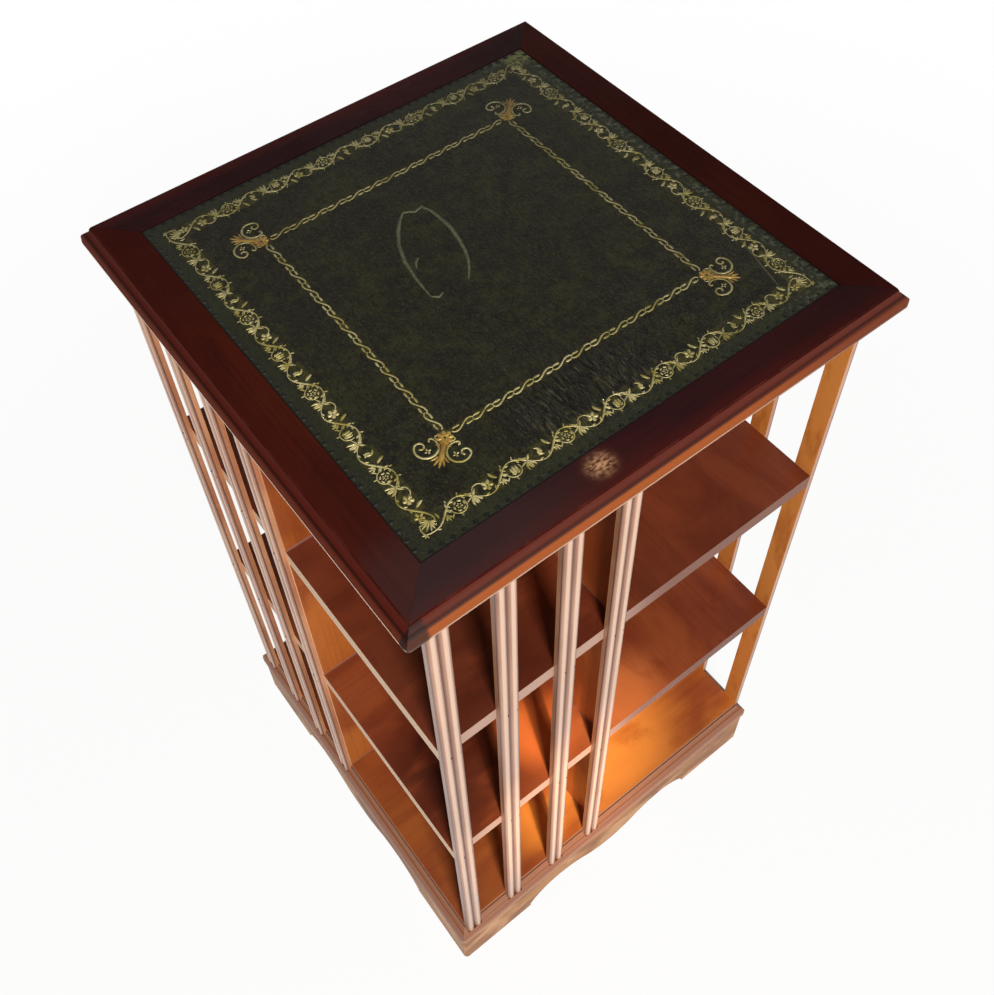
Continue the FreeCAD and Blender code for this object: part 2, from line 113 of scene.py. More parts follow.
class Coating:
    """A material in the making: its nodes, and the colour that has been laid so far."""

    def __init__(self, name: str, ground: str) -> None:
        """Start with one even colour.

        Args:
            name: What the real finish is.
            ground: The lowest colour.
        """
        self.material = bpy.data.materials.new(name)
        self.material.use_nodes = True
        self.tree = self.material.node_tree
        self.shader = self.tree.nodes["Principled BSDF"]
        self.place = self.add("TexCoord", output="Object")
        self.colour: Any = linear(ground)

    def add(self, kind: str, inputs: dict[str | int, Any] | None = None,
            output: str | int = 0, **settings: Any) -> Socket:
        """Add one node to this material."""
        return add_node(self.tree, kind, inputs, output, **settings)

    def cloud(self, size: tuple[float, float, float], detail: float = 2.0,
              push: float = 0.0) -> Socket:
        """Spread cloudy patches of a real size over the piece.

        Args:
            size: Size of a patch along X, Y and Z, in mm.
            detail: Levels of finer patches inside.
            push: How far the patches are pushed out of shape.

        Returns:
            A measure that is about 0.5 on average.
        """
        scale = tuple(1 / (length * MM) for length in size)
        spot = self.add("Mapping", {"Vector": self.place, "Scale": scale})
        return self.add("TexNoise", {"Vector": spot, "Scale": 1.0, "Detail": detail,
                                     "Distortion": push})

    def spot(self) -> dict[str, Socket]:
        """Measure the place on the bookcase.

        Returns:
            In mm: x, y and z; far for the larger and near for the smaller of the distances
            from the spindle along X and Y.
        """
        big = self.add("VectorMath", {0: self.place, "Scale": 1 / MM}, operation="SCALE")
        found = dict(zip("xyz", self.add("SeparateXYZ", {0: big}).node.outputs))
        across = self.add("Math", {0: found["x"]}, operation="ABSOLUTE")
        deep = self.add("Math", {0: found["y"]}, operation="ABSOLUTE")
        found["far"] = self.add("Math", {0: across, 1: deep}, operation="MAXIMUM")
        found["near"] = self.add("Math", {0: across, 1: deep}, operation="MINIMUM")
        return found

    def oval(self, spot: dict[str, Socket], middle: tuple[float, float],
             half: tuple[float, float]) -> Socket:
        """Measure the distance from the middle of an oval.

        Args:
            spot: Place in mm, from spot().
            middle: Middle of the oval in x and y, in mm.
            half: Its half sizes, in mm.

        Returns:
            0 at its middle and 1 on its line.
        """
        squares = []
        for name, centre, reach in zip("xy", middle, half):
            aside = self.add("Math", {0: spot[name], 1: centre}, operation="SUBTRACT")
            share = self.add("Math", {0: aside, 1: reach}, operation="DIVIDE")
            squares.append(self.add("Math", {0: share, 1: share}, operation="MULTIPLY"))
        total = self.add("Math", {0: squares[0], 1: squares[1]}, operation="ADD")
        return self.add("Math", {0: total}, operation="SQRT")

    def where(self, *steps: Step) -> Socket:
        """Find the places where every one of several measures has passed its step.

        Args:
            steps: Each a measure, the level where its step begins and where it is done.

        Returns:
            1 where every step is done, 0 where one of them has not begun.
        """
        shares = [self.add("MapRange", {"Value": measure, "From Min": start, "From Max": done},
                           interpolation_type="SMOOTHSTEP") for measure, start, done in steps]
        found = shares[0]
        for share in shares[1:]:
            found = self.add("Math", {0: found, 1: share}, operation="MULTIPLY")
        return found

    def lay(self, shade: str, strength: float, *steps: Step) -> None:
        """Lay a colour over what is there.

        Args:
            shade: The colour, as hex.
            strength: Its share where it shows fully.
            steps: Where it shows, as for where().
        """
        share = self.add("Math", {0: self.where(*steps), 1: strength}, operation="MULTIPLY")
        self.colour = self.add("Mix", {0: share, 6: self.colour, 7: linear(shade)}, 2,
                               data_type="RGBA")

    def roughened(self, rough: Socket, level: float, *steps: Step) -> Socket:
        """Raise a roughness to a level in some places.

        Args:
            rough: The roughness elsewhere.
            level: The least roughness in those places.
            steps: Where they are, as for where().

        Returns:
            The new roughness.
        """
        least = self.add("Math", {0: self.where(*steps), 1: level}, operation="MULTIPLY")
        return self.add("Math", {0: rough, 1: least}, operation="MAXIMUM")

    def finish(self, rough: Any, height: Socket | None = None, depth: float = 0.0,
               **constants: float) -> bpy.types.Material:
        """Close the material.

        Args:
            rough: Roughness, a constant or a socket.
            height: Relief, 0 to 1.
            depth: Depth of that relief, in mm.
            constants: Other inputs of the shader, with underscores for spaces.

        Returns:
            The material.
        """
        given = {"Base Color": self.colour, "Roughness": rough}
        given.update({name.replace("_", " "): value for name, value in constants.items()})
        if height is not None:
            given["Normal"] = self.add("Bump", {"Height": height, "Distance": depth * MM,
                                                "Strength": 1.0})
        for name, value in given.items():
            if isinstance(value, Socket):
                self.tree.links.new(value, self.shader.inputs[name])
            else:
                self.shader.inputs[name].default_value = value
        return self.material


@dataclass(frozen=True)
class Mahogany:
    """Straight-grained mahogany, stained and lacquered.

    To the eye: a silky red-brown ground in soft streaks, with short dark pores under a
    thin gloss. The pores are drawn twice as wide as real ones, 0.3 mm, so that they show.
    Bands, streaks and pores give their width and length in mm.
    """

    name: str
    heart: str
    sap: str
    vein: str
    run: Run
    roughness: float = 0.36
    coat: float = 0.15
    shine: float = 0.5
    band: tuple[float, float] = (55.0, 140.0)
    streak: tuple[float, float] = (3.2, 150.0)
    pore: tuple[float, float] = (0.6, 9.0)

    def stretched(self, across: float, along: float) -> tuple[float, float, float]:
        """Size a patch so that it is long the way of the grain.

        Args:
            across: Its width, in mm.
            along: Its length, in mm.

        Returns:
            Its size along X, Y and Z, in mm.
        """
        sizes = [across, across, across]
        sizes[self.run.value] = along
        return tuple(sizes)

    def dress(self, coating: Coating) -> None:
        """Lay what lies over the grain; a plain board has nothing."""

    def dull(self, coating: Coating, rough: Socket) -> Socket:
        """Return the roughness with the places that have lost their gloss; here there are none."""
        return rough

    def make(self) -> bpy.types.Material:
        """Lay the grain, the pores and the wear.

        Returns:
            The finished material.
        """
        coating = Coating(self.name, self.heart)
        coating.lay(self.sap, 1.0, (coating.cloud(self.stretched(*self.band), 2.0, 0.4), 0.35, 0.65))
        coating.lay(self.vein, 0.28, (coating.cloud(self.stretched(*self.streak), 3.0), 0.46, 0.74))
        coating.lay(self.sap, 0.3, (coating.cloud((34, 30, 30), 4.0, 0.5), 0.5, 0.7))
        pores = (coating.cloud(self.stretched(*self.pore)), 0.58, 0.7)
        coating.lay(self.vein, 0.35, pores)
        self.dress(coating)
        rough = coating.add("MapRange", {"Value": coating.cloud((60, 60, 60), 4.0),
                                         "To Min": self.roughness - 0.08,
                                         "To Max": self.roughness + 0.12})
        hollow = coating.add("Math", {0: 1.0, 1: coating.where(pores)}, operation="SUBTRACT")
        return coating.finish(self.dull(coating, rough), hollow, 0.02, IOR=1.5,
                              Coat_Weight=self.coat, Coat_Roughness=0.2,
                              Specular_IOR_Level=self.shine)


@dataclass(frozen=True)
class EdgedMahogany(Mahogany):
    """A board of the case: patches of painted shade and painted sunlight, its outer edges laid pale as
    a painted highlight, paler where they face left and darker between x -50 and 40 mm.

    A patch is its colour, share, middle and half sizes in mm.
    """

    edge: str = "#ae9286"
    left_edge: str = "#e4c9ac"
    kept_edge: str = "#5c2a1b"
    edge_rough: float = 0.9
    reach: float = 216.5
    patches: tuple[Patch, ...] = ()

    def rim(self, spot: dict[str, Socket]) -> Step:
        """Return the step that only the board's outer edges pass."""
        return spot["far"], self.reach - 0.3, self.reach - 0.1

    def dress(self, coating: Coating) -> None:
        """Lay the patches of painted shade and sunlight and the painted highlight on the edges over
        the grain.

        Args:
            coating: The material in the making.
        """
        spot = coating.spot()
        # patches of painted shade and painted sunlight
        for shade, share, middle, half in self.patches:
            coating.lay(shade, share, (coating.oval(spot, middle, half), 1.15, 0.3),
                        (coating.cloud(self.stretched(30, 70), 3.0, 0.4), 0.22, 0.52))
        # painted highlight: the outer edges laid pale, darker between x -50 and 40 mm, paler where
        # they face left
        coating.lay(self.edge, 0.85, self.rim(spot))
        coating.lay(self.kept_edge, 0.8, self.rim(spot), (spot["x"], -50.0, 40.0))
        coating.lay(self.left_edge, 0.85, (spot["x"], 0.3 - self.reach, 0.1 - self.reach))

    def dull(self, coating: Coating, rough: Socket) -> Socket:
        """Make the outer edges matt."""
        return coating.roughened(rough, self.edge_rough, self.rim(coating.spot()))


@dataclass(frozen=True)
class DustAndShadeMahogany(EdgedMahogany):
    """An upright board: laid darker in the top tier as painted shade; old polish and dust lie grey in
    the corner over each shelf.
    """

    shelf: float = 98.0
    pitch: float = 256.0

    def dress(self, coating: Coating) -> None:
        """Lay the edges, the painted shade over the top tier and the line of dust over the grain.

        Args:
            coating: The material in the making.
        """
        super().dress(coating)
        above = coating.add("Math", {0: coating.spot()["z"], 1: self.shelf}, operation="SUBTRACT")
        # painted shade: the top tier laid darker
        coating.lay("#6a280f", 0.6, (above, 2 * self.pitch - 20, 2 * self.pitch + 40))
        level = coating.add("Math", {0: above, 1: self.pitch}, operation="FLOORED_MODULO")
        coating.lay("#7c6468", 0.6, (level, 4.6, 2.6),
                    (coating.cloud((20, 20, 20), 3.0), 0.3, 0.5))


@dataclass(frozen=True)
class BlotchedMahogany(Mahogany):
    """An apron: its polish has worn away in blotches, down to the tan wood."""

    def dress(self, coating: Coating) -> None:
        """Lay the bare and the dark blotches over the grain."""
        coating.lay("#d4a880", 0.6, (coating.cloud((60, 60, 34), 2.0, 0.4), 0.48, 0.66))
        coating.lay("#6a452b", 0.3, (coating.cloud((40, 40, 26), 2.0, 0.4), 0.54, 0.72))


@dataclass(frozen=True)
class MouldedTopMahogany(Mahogany):
    """A top rail: dark, glossy, with a redder moulding in bands, the marks of long use, a painted
    highlight on the lower edge of the lip and a painted reflection on the front rail.
    """

    reach: float = 230.0
    lip: float = 239.2
    low: float = 848.0
    lip_highlight: float = 0.25
    moulding_rough: float = 0.66
    glare_spot: Oval = ((-57.0, -212.5), (17.0, 14.5))
    handled: Oval = ((-200.0, -214.0), (170.0, 60.0))
    shades: Moulding = (
        (-1.6, -0.2, "#481610", 0.5), (0.0, 0.1, "#4c1606", 0.9), (0.42, 0.55, "#300f08", 0.9),
        (0.62, 0.78, "#8c4616", 0.9), (0.95, 1.0, "#70401f", 0.6))

    def dull(self, coating: Coating, rough: Socket) -> Socket:
        """Make the handled moulding less glossy than the flat of the rail."""
        return coating.roughened(rough, self.moulding_rough,
                                 (coating.spot()["far"], self.reach, self.reach + 1.0))

    def dress(self, coating: Coating) -> None:
        """Lay the colours of the moulding, the mitres, the wear, the painted highlight and the painted
        reflection over the grain.

        Args:
            coating: The material in the making.
        """
        spot = coating.spot()
        away = coating.add("Math", {0: spot["far"], 1: self.reach}, operation="SUBTRACT")
        span = self.lip - self.reach
        for start, end, shade, share in self.shades:
            coating.lay(shade, share, (away, start * span, end * span))
        # the arris, rubbed redder here and there
        beside = coating.add("Math", {0: away}, operation="ABSOLUTE")
        coating.lay("#6a3428", 0.3, (beside, 1.0, 0.1),
                    (coating.cloud((26, 26, 26), 3.0), 0.45, 0.65))
        # the lower edge of the lip: a painted highlight
        coating.lay("#fff0e0", self.lip_highlight, (spot["far"], self.lip - 1.4, self.lip - 0.8),
                    (spot["z"], self.low + 3.6, self.low + 2.6))
        mitre = coating.add("Math", {0: spot["far"], 1: spot["near"]}, operation="SUBTRACT")
        coating.lay("#140607", 0.75, (mitre, 0.45, 0.1))
        # a painted reflection: a pale glare spot in the polish of the front rail
        glare_spot = coating.oval(spot, *self.glare_spot)
        coating.lay("#6c4030", 0.5, (glare_spot, 1.2, 0.1))
        coating.lay("#cca078", 0.85, (glare_spot, 0.95, 0.0), (coating.cloud((4, 2, 9), 3.0), 0.34, 0.64))
        # old polish left dark round the front left corner, and the flat beside it greyed
        coating.lay("#1e0a08", 0.85, (spot["x"], -219.0, -223.0), (spot["y"], -229.5, -231.0))
        handled = coating.oval(spot, *self.handled)
        coating.lay("#3a2c2c", 0.45, (handled, 1.0, 0.3), (spot["far"], self.reach, self.reach - 1))
        # the rails laid darker towards their right ends
        coating.lay("#160605", 0.45, (spot["x"], 60.0, 220.0))
        # the moulding is browner towards the front right corner, with a dark quirk
        front_right = ((spot["x"], 20.0, 200.0), (spot["y"], -200.0, -216.0))
        coating.lay("#561c0a", 0.5, *front_right, (away, 0.0, 1.0))
        coating.lay("#1e0605", 0.7, *front_right, (away, 3.2, 3.6), (away, 5.0, 4.6))


@dataclass(frozen=True)
class MouldedBaseMahogany(EdgedMahogany):
    """The bottom board: a rubbed moulding with dark lines in its quirks."""

    quirk: float = 1.2
    lip: float = 228.2

    def dress(self, coating: Coating) -> None:
        """Lay the painted-sunlight patches, the rubbed moulding and its dark lines over the grain.

        Args:
            coating: The material in the making.
        """
        super().dress(coating)
        spot = coating.spot()
        far = spot["far"]
        inner = self.reach + self.quirk
        # the top of the board laid darker towards the left
        coating.lay("#682c14", 0.55, (spot["x"], -60.0, -130.0), (far, self.reach, self.reach - 1))
        coating.lay("#8a5538", 0.75, (far, inner, inner + 1))
        coating.lay("#43201a", 0.85, (far, self.reach + 0.1, self.reach + 0.4),
                    (far, inner + 0.5, inner))
        coating.lay("#55291e", 0.6, (far, inner + 4.2, inner + 4.5), (far, inner + 5.4, inner + 5.0))
        coating.lay("#a0704c", 0.6, (far, self.lip - 1.4, self.lip - 0.3))
        coating.lay("#6a4048", 0.5, (far, self.lip - 2.6, self.lip - 2.3),
                    (far, self.lip - 1.2, self.lip - 1.6))


@dataclass(frozen=True)
class ReededMahogany(Mahogany):
    """A slat: a painted highlight along each reed's crown and painted shade in the groove between
    them.
    """

    groove: str = "#5e3626"
    crown: str = "#d2b5a2"
    side: str = "#d0863a"
    reach: float = 216.5
    valley: float = 5.2

    def dress(self, coating: Coating) -> None:
        """Paint a highlight on the crowns and shade on the low parts of the section.

        Args:
            coating: The material in the making.
        """
        far = coating.spot()["far"]
        low = self.reach + self.valley
        # painted highlight on the crowns, painted shade in the groove
        coating.lay(self.crown, 0.75, (far, low + 1.85, low + 2.3))
        coating.lay(self.groove, 0.85, (far, low + 1.75, low + 0.6), (far, low - 1.2, low - 0.3))
        inner = (far, self.reach + 0.6, self.reach + 0.2)
        coating.lay(self.side, 0.85, inner)
        coating.lay("#9c521c", 0.5, inner, (coating.cloud(self.stretched(16, 50), 3.0), 0.48, 0.66))


@dataclass(frozen=True)
class BarePine:
    """Sawn pine, planed and left bare, of the hidden boards.

    To the eye: dull, pale yellow, with wide darker rings.
    """

    name: str = "bare_pine"
    early: str = "#c9a878"
    late: str = "#a97c4a"

    def make(self) -> bpy.types.Material:
        """Lay the rings of the pine.

        Returns:
            The finished material.
        """
        coating = Coating(self.name, self.early)
        rings = (coating.cloud((260, 11, 11), 3.0, 0.8), 0.45, 0.62)
        coating.lay(self.late, 1.0, rings)
        return coating.finish(0.8, coating.where(rings), 0.05)


@dataclass(frozen=True)
class WaxedHide:
    """Green-dyed cow hide, waxed and handled for a hundred years.

    To the eye: almost black, finely mottled green and brown, pebbled, creased, half dull.
    """

    name: str = "waxed_green_hide"
    ground: str = "#1c1b13"
    green: str = "#2f321c"
    brown: str = "#17130e"
    margin: str = "#282d1e"
    worn: str = "#6e7346"
    pebble: float = 1.1
    crease: float = 6.5
    crease_drift: float = 7.0
    drift_size: float = 9.0
    margin_reach: float = 186.0
    corner_middle: tuple[float, float] = (193.6, 193.6)
    corner_round: float = 5.4
    worn_corner: Oval = ((191.0, 189.0), (24.0, 16.0))
    pulled: Oval = ((-24.0, -158.0), (84.0, 44.0))
    crease_slope: float = -0.254
    crease_line: float = 205.0
    gilt_bands: tuple[tuple[float, float], ...] = ((169.5, 186.5), (121.0, 129.0))

    def make(self) -> bpy.types.Material:
        """Lay the dye, the creases and the wear of the hide.

        Returns:
            The finished material.
        """
        coating = Coating(self.name, self.ground)
        spot = coating.spot()
        coating.lay(self.green, 0.6, (coating.cloud((26, 22, 20), 5.0, 0.6), 0.4, 0.66))
        coating.lay(self.brown, 0.7, (coating.cloud((9, 7, 7), 4.0, 0.4), 0.48, 0.66))
        coating.lay(self.green, 0.8, (coating.cloud((2.2, 2.2, 2.2), 3.0), 0.5, 0.68))
        coating.lay("#41402c", 0.55, (coating.cloud((1.3, 1.6, 1.6), 2.0), 0.6, 0.72))
        coating.lay("#0f0d0a", 0.7, (coating.cloud((1.8, 7, 7), 3.0, 0.8), 0.52, 0.62))
        # where the hide was pulled into furrows near the front edge: painted shade in the furrows and
        # a painted highlight on their ridges
        pulled = coating.oval(spot, *self.pulled)
        furrow = coating.cloud((3.0, 15, 8), 2.0, 1.4)
        coating.lay("#080706", 0.85, (furrow, 0.5, 0.56), (pulled, 1.0, 0.5))
        coating.lay("#4e4a3a", 0.6, (furrow, 0.42, 0.34), (pulled, 1.0, 0.5))
        ripple = coating.where((furrow, 0.6, 0.4), (pulled, 1.0, 0.5))
        cracks = self.cracks(coating)
        # the creases near the front laid darker
        coating.lay("#0d0b08", 0.7, (cracks, 0.14, 0.02), (spot["y"], -70.0, -130.0),
                    (coating.cloud((46, 30, 30), 2.0), 0.56, 0.44))
        # one long crease beside the border on the right, with a painted highlight on one side and
        # painted shade on the other
        slant = coating.add("Math", {0: spot["y"], 1: self.crease_slope, 2: spot["x"]},
                            operation="MULTIPLY_ADD")
        along = ((spot["y"], -114.0, -124.0), (spot["y"], -174.0, -162.0))
        line = self.crease_line
        coating.lay("#5a5c46", 0.6, (slant, line - 1.1, line - 0.5),
                    (slant, line + 0.7, line + 0.1), *along)
        coating.lay("#0b0b08", 0.7, (slant, line + 0.5, line + 1.0),
                    (slant, line + 2.6, line + 1.6), *along)
        # the margin, scuffed on the right, and dull gold ground in along the rolls
        coating.lay(self.margin, 0.5, (spot["far"], self.margin_reach - 3, self.margin_reach + 3))
        coating.lay("#6c7460", 0.4, (spot["far"], 187.0, 189.0), (spot["x"], 120.0, 180.0),
                    (coating.cloud((4, 4, 4), 4.0), 0.46, 0.7))
        for start, end in self.gilt_bands:
            coating.lay("#4a4720", 0.45, (spot["far"], start, start + 2), (spot["far"], end, end - 2),
                        (coating.cloud((6, 6, 6), 3.0), 0.42, 0.6))
        # one corner worn pale, pale specks all over, and the rim and corners stained dark
        corner = coating.oval(spot, *self.worn_corner)
        coating.lay(self.worn, 0.8, (corner, 1.0, 0.2), (coating.cloud((3, 3, 3), 4.0), 0.35, 0.6))
        coating.lay(self.worn, 0.4, (coating.cloud((0.8, 0.8, 0.8), 0.0), 0.74, 0.8))
        coating.lay("#0e0e0a", 0.85, (spot["far"], 197.0, 198.2))
        turned = coating.oval({"x": spot["far"], "y": spot["near"]}, self.corner_middle,
                              (self.corner_round, self.corner_round))
        coating.lay("#1a0b0c", 1.0, (spot["near"], self.corner_middle[1], self.corner_middle[1] + 0.2),
                    (turned, 0.95, 1.05))
        height = coating.add("Math", {0: ripple, 1: self.relief(coating, spot, cracks)},
                             operation="ADD")
        return coating.finish(0.5, height, 0.3, Specular_IOR_Level=0.26)

    def cracks(self, coating: Coating) -> Socket:
        """Draw the net of creases.

        Args:
            coating: The material in the making.

        Returns:
            The distance from the creases, 0 to about 0.5.
        """
        drift = coating.add("TexNoise", {"Vector": coating.place, "Detail": 4.0,
                                         "Scale": 1 / (self.drift_size * MM)}, "Color")
        pushed = coating.add("VectorMath", {0: drift, 1: (self.crease_drift * MM,) * 3,
                                            2: coating.place}, operation="MULTIPLY_ADD")
        return coating.add("TexVoronoi", {"Vector": pushed, "Scale": 1 / (self.crease * MM)},
                           "Distance", feature="DISTANCE_TO_EDGE")

    def relief(self, coating: Coating, spot: dict[str, Socket], cracks: Socket) -> Socket:
        """Raise the pebble and sink the creases of the hide, deepest at the front.

        Args:
            coating: The material in the making.
            spot: Place in mm, from spot().
            cracks: Distance from the creases.

        Returns:
            Height, about 0 to 1.
        """
        cell = coating.add("TexVoronoi", {"Vector": coating.place, "Smoothness": 0.6,
                                          "Scale": 1 / (self.pebble * MM)},
                           "Distance", feature="SMOOTH_F1")
        grain = coating.add("Math", {0: cell, 1: -0.7}, operation="MULTIPLY")
        smooth = coating.cloud((38, 30, 30), 2.0)
        rise = coating.add("Math", {0: coating.where((cracks, 0.0, 0.16)),
                                    1: coating.where((smooth, 0.42, 0.58))}, operation="MAXIMUM")
        calm = coating.add("Math", {0: coating.where((spot["y"], -140.0, -40.0)), 1: 0.8},
                           operation="MULTIPLY")
        kept = coating.add("Math", {0: rise, 1: calm}, operation="MAXIMUM")
        return coating.add("Math", {0: grain, 1: kept}, operation="ADD")


@dataclass(frozen=True)
class GoldLeaf:
    """Gold leaf pressed into hide with hot brass tools.

    To the eye: bright and half metallic where whole, rubbed off to the hide in places.
    """

    name: str = "tooled_gold_leaf"
    bright: str = "#c8c08a"
    deep: str = "#9c9248"
    rubbed: str = "#44452c"

    def make(self) -> bpy.types.Material:
        """Lay the gold, and the places where it has rubbed off.

        Returns:
            The finished material.
        """
        coating = Coating(self.name, self.deep)
        coating.lay(self.bright, 1.0, (coating.cloud((16, 16, 16), 3.0), 0.35, 0.6))
        gone = (coating.cloud((2.6, 2.6, 2.6), 4.0), 0.52, 0.7)
        coating.lay(self.rubbed, 0.75, gone)
        spot = coating.spot()
        # the gold laid duller towards the back and the right
        coating.lay(self.rubbed, 0.4, (spot["y"], -20.0, 150.0))
        coating.lay(self.rubbed, 0.4, (spot["x"], -60.0, 150.0))
        kept = coating.add("MapRange", {"Value": coating.where(gone), "To Min": 0.3,
                                        "To Max": 0.0})
        return coating.finish(0.45, Metallic=kept)


@dataclass(frozen=True)
class MarkedHide:
    """Hide marked by a hot iron or by rubbing.

    To the eye: a dull mark, broken up where the hide shows through.
    """

    name: str
    mark: str
    ground: str
    kept: float = 0.6

    def make(self) -> bpy.types.Material:
        """Lay the mark, with the hide showing through.

        Returns:
            The finished material.
        """
        coating = Coating(self.name, self.mark)
        coating.lay(self.ground, self.kept, (coating.cloud((2.2, 2.2, 2.2), 4.0), 0.42, 0.62))
        return coating.finish(0.6, Specular_IOR_Level=0.3)


@dataclass(frozen=True)
class Metal:
    """Bare or plated metal, turned or pressed.

    To the eye: an even metal shine broken by the fine streaks of its making.
    """

    name: str
    colour: str
    roughness: float
    metallic: float = 1.0

    def make(self) -> bpy.types.Material:
        """Lay the metal and the streaks of its making.

        Returns:
            The finished material.
        """
        coating = Coating(self.name, self.colour)
        rough = coating.add("MapRange", {"Value": coating.cloud((7, 7, 0.4), 3.0),
                                         "To Min": self.roughness - 0.1,
                                         "To Max": self.roughness + 0.14})
        return coating.finish(rough, Metallic=self.metallic)


# ------------------------------------------------------------------ tooling


@dataclass(frozen=True)
class Stroke:
    """One stroke of a finishing tool: points of its path and its half width there, in mm."""

    path: tuple[tuple[float, float], ...]
    half_widths: tuple[float, ...]

    @classmethod
    def curl(cls, centre: tuple[float, float], angles: tuple[float, float],
             radii: tuple[float, float], half_widths: tuple[float, float],
             steps: int = 12) -> "Stroke":
        """Draw an arc or a spiral that is thickest in its middle.

        Args:
            centre: Its centre.
            angles: Its first and last angle, in degrees.
            radii: Its first and last radius.
            half_widths: Half width in the middle and at the tips.
            steps: Number of points.

        Returns:
            The stroke.
        """
        path, widths = [], []
        for step in range(steps):
            share = step / (steps - 1)
            angle = math.radians(angles[0] + (angles[1] - angles[0]) * share)
            radius = radii[0] + (radii[1] - radii[0]) * share
            path.append((centre[0] + radius * math.cos(angle),
                         centre[1] + radius * math.sin(angle)))
            middle, tip = half_widths
            widths.append(tip + (middle - tip) * math.sin(math.pi * share))
        return cls(tuple(path), tuple(widths))

    @classmethod
    def leaf(cls, root: tuple[float, float], angle: float, length: float, half_width: float,
             bend: float = 0.0, tip: float = 0.1) -> "Stroke":
        """Draw a pointed leaf.

        Args:
            root: Where it starts.
            angle: Where it points, in degrees.
            length: Root to tip.
            half_width: Half of its greatest width.
            bend: How far its tip turns, in degrees.
            tip: Width of its tip as a share of its greatest width.

        Returns:
            The stroke.
        """
        shares = (0.3, 0.85, 1.0, 0.7 + 0.5 * tip, tip)
        path, spot = [root], root
        for step in range(1, len(shares)):
            turn = math.radians(angle + bend * step / (len(shares) - 1))
            reach = length / (len(shares) - 1)
            spot = (spot[0] + reach * math.cos(turn), spot[1] + reach * math.sin(turn))
            path.append(spot)
        return cls(tuple(path), tuple(half_width * share for share in shares))

    @classmethod
    def ring_of_leaves(cls, centre: tuple[float, float], count: int, hole: float,
                       length: float, half_width: float, turn: float = 90.0,
                       tip: float = 0.1) -> list["Stroke"]:
        """Draw a flower.

        Args:
            centre: Its centre.
            count: Number of petals.
            hole: Radius of its eye.
            length: Length of a petal.
            half_width: Half width of a petal.
            turn: Where the first petal points, in degrees.
            tip: Width of a petal's tip as a share of its greatest width.

        Returns:
            Its petals.
        """
        petals = []
        for number in range(count):
            angle = turn + 360 / count * number
            way = math.radians(angle)
            root = (centre[0] + hole * math.cos(way), centre[1] + hole * math.sin(way))
            petals.append(cls.leaf(root, angle, length, half_width, tip=tip))
        return petals

    @classmethod
    def wave(cls, length: float, swing: float, half_widths: tuple[float, float],
             steps: int) -> "Stroke":
        """Draw one wave of a stem, with its crest in the first half.

        Args:
            length: Length of the wave.
            swing: Height of its crest.
            half_widths: Half width at its middle and at its ends, where it rises.
            steps: Number of points.

        Returns:
            The stroke.
        """
        path, widths = [], []
        thin, thick = half_widths
        for step in range(steps):
            turn = 2 * math.pi * step / (steps - 1)
            path.append((length * (step / (steps - 1) - 0.5), swing * math.sin(turn)))
            widths.append(thin + (thick - thin) * max(0.0, math.cos(turn)))
        return cls(tuple(path), tuple(widths))

    def bolder(self, times: float) -> "Stroke":
        """Return the stroke a number of times as wide."""
        return replace(self, half_widths=tuple(half * times for half in self.half_widths))

    def mirrored(self) -> "Stroke":
        """Return the stroke on the other side of the line y = 0."""
        return replace(self, path=tuple((across, -up) for across, up in self.path))


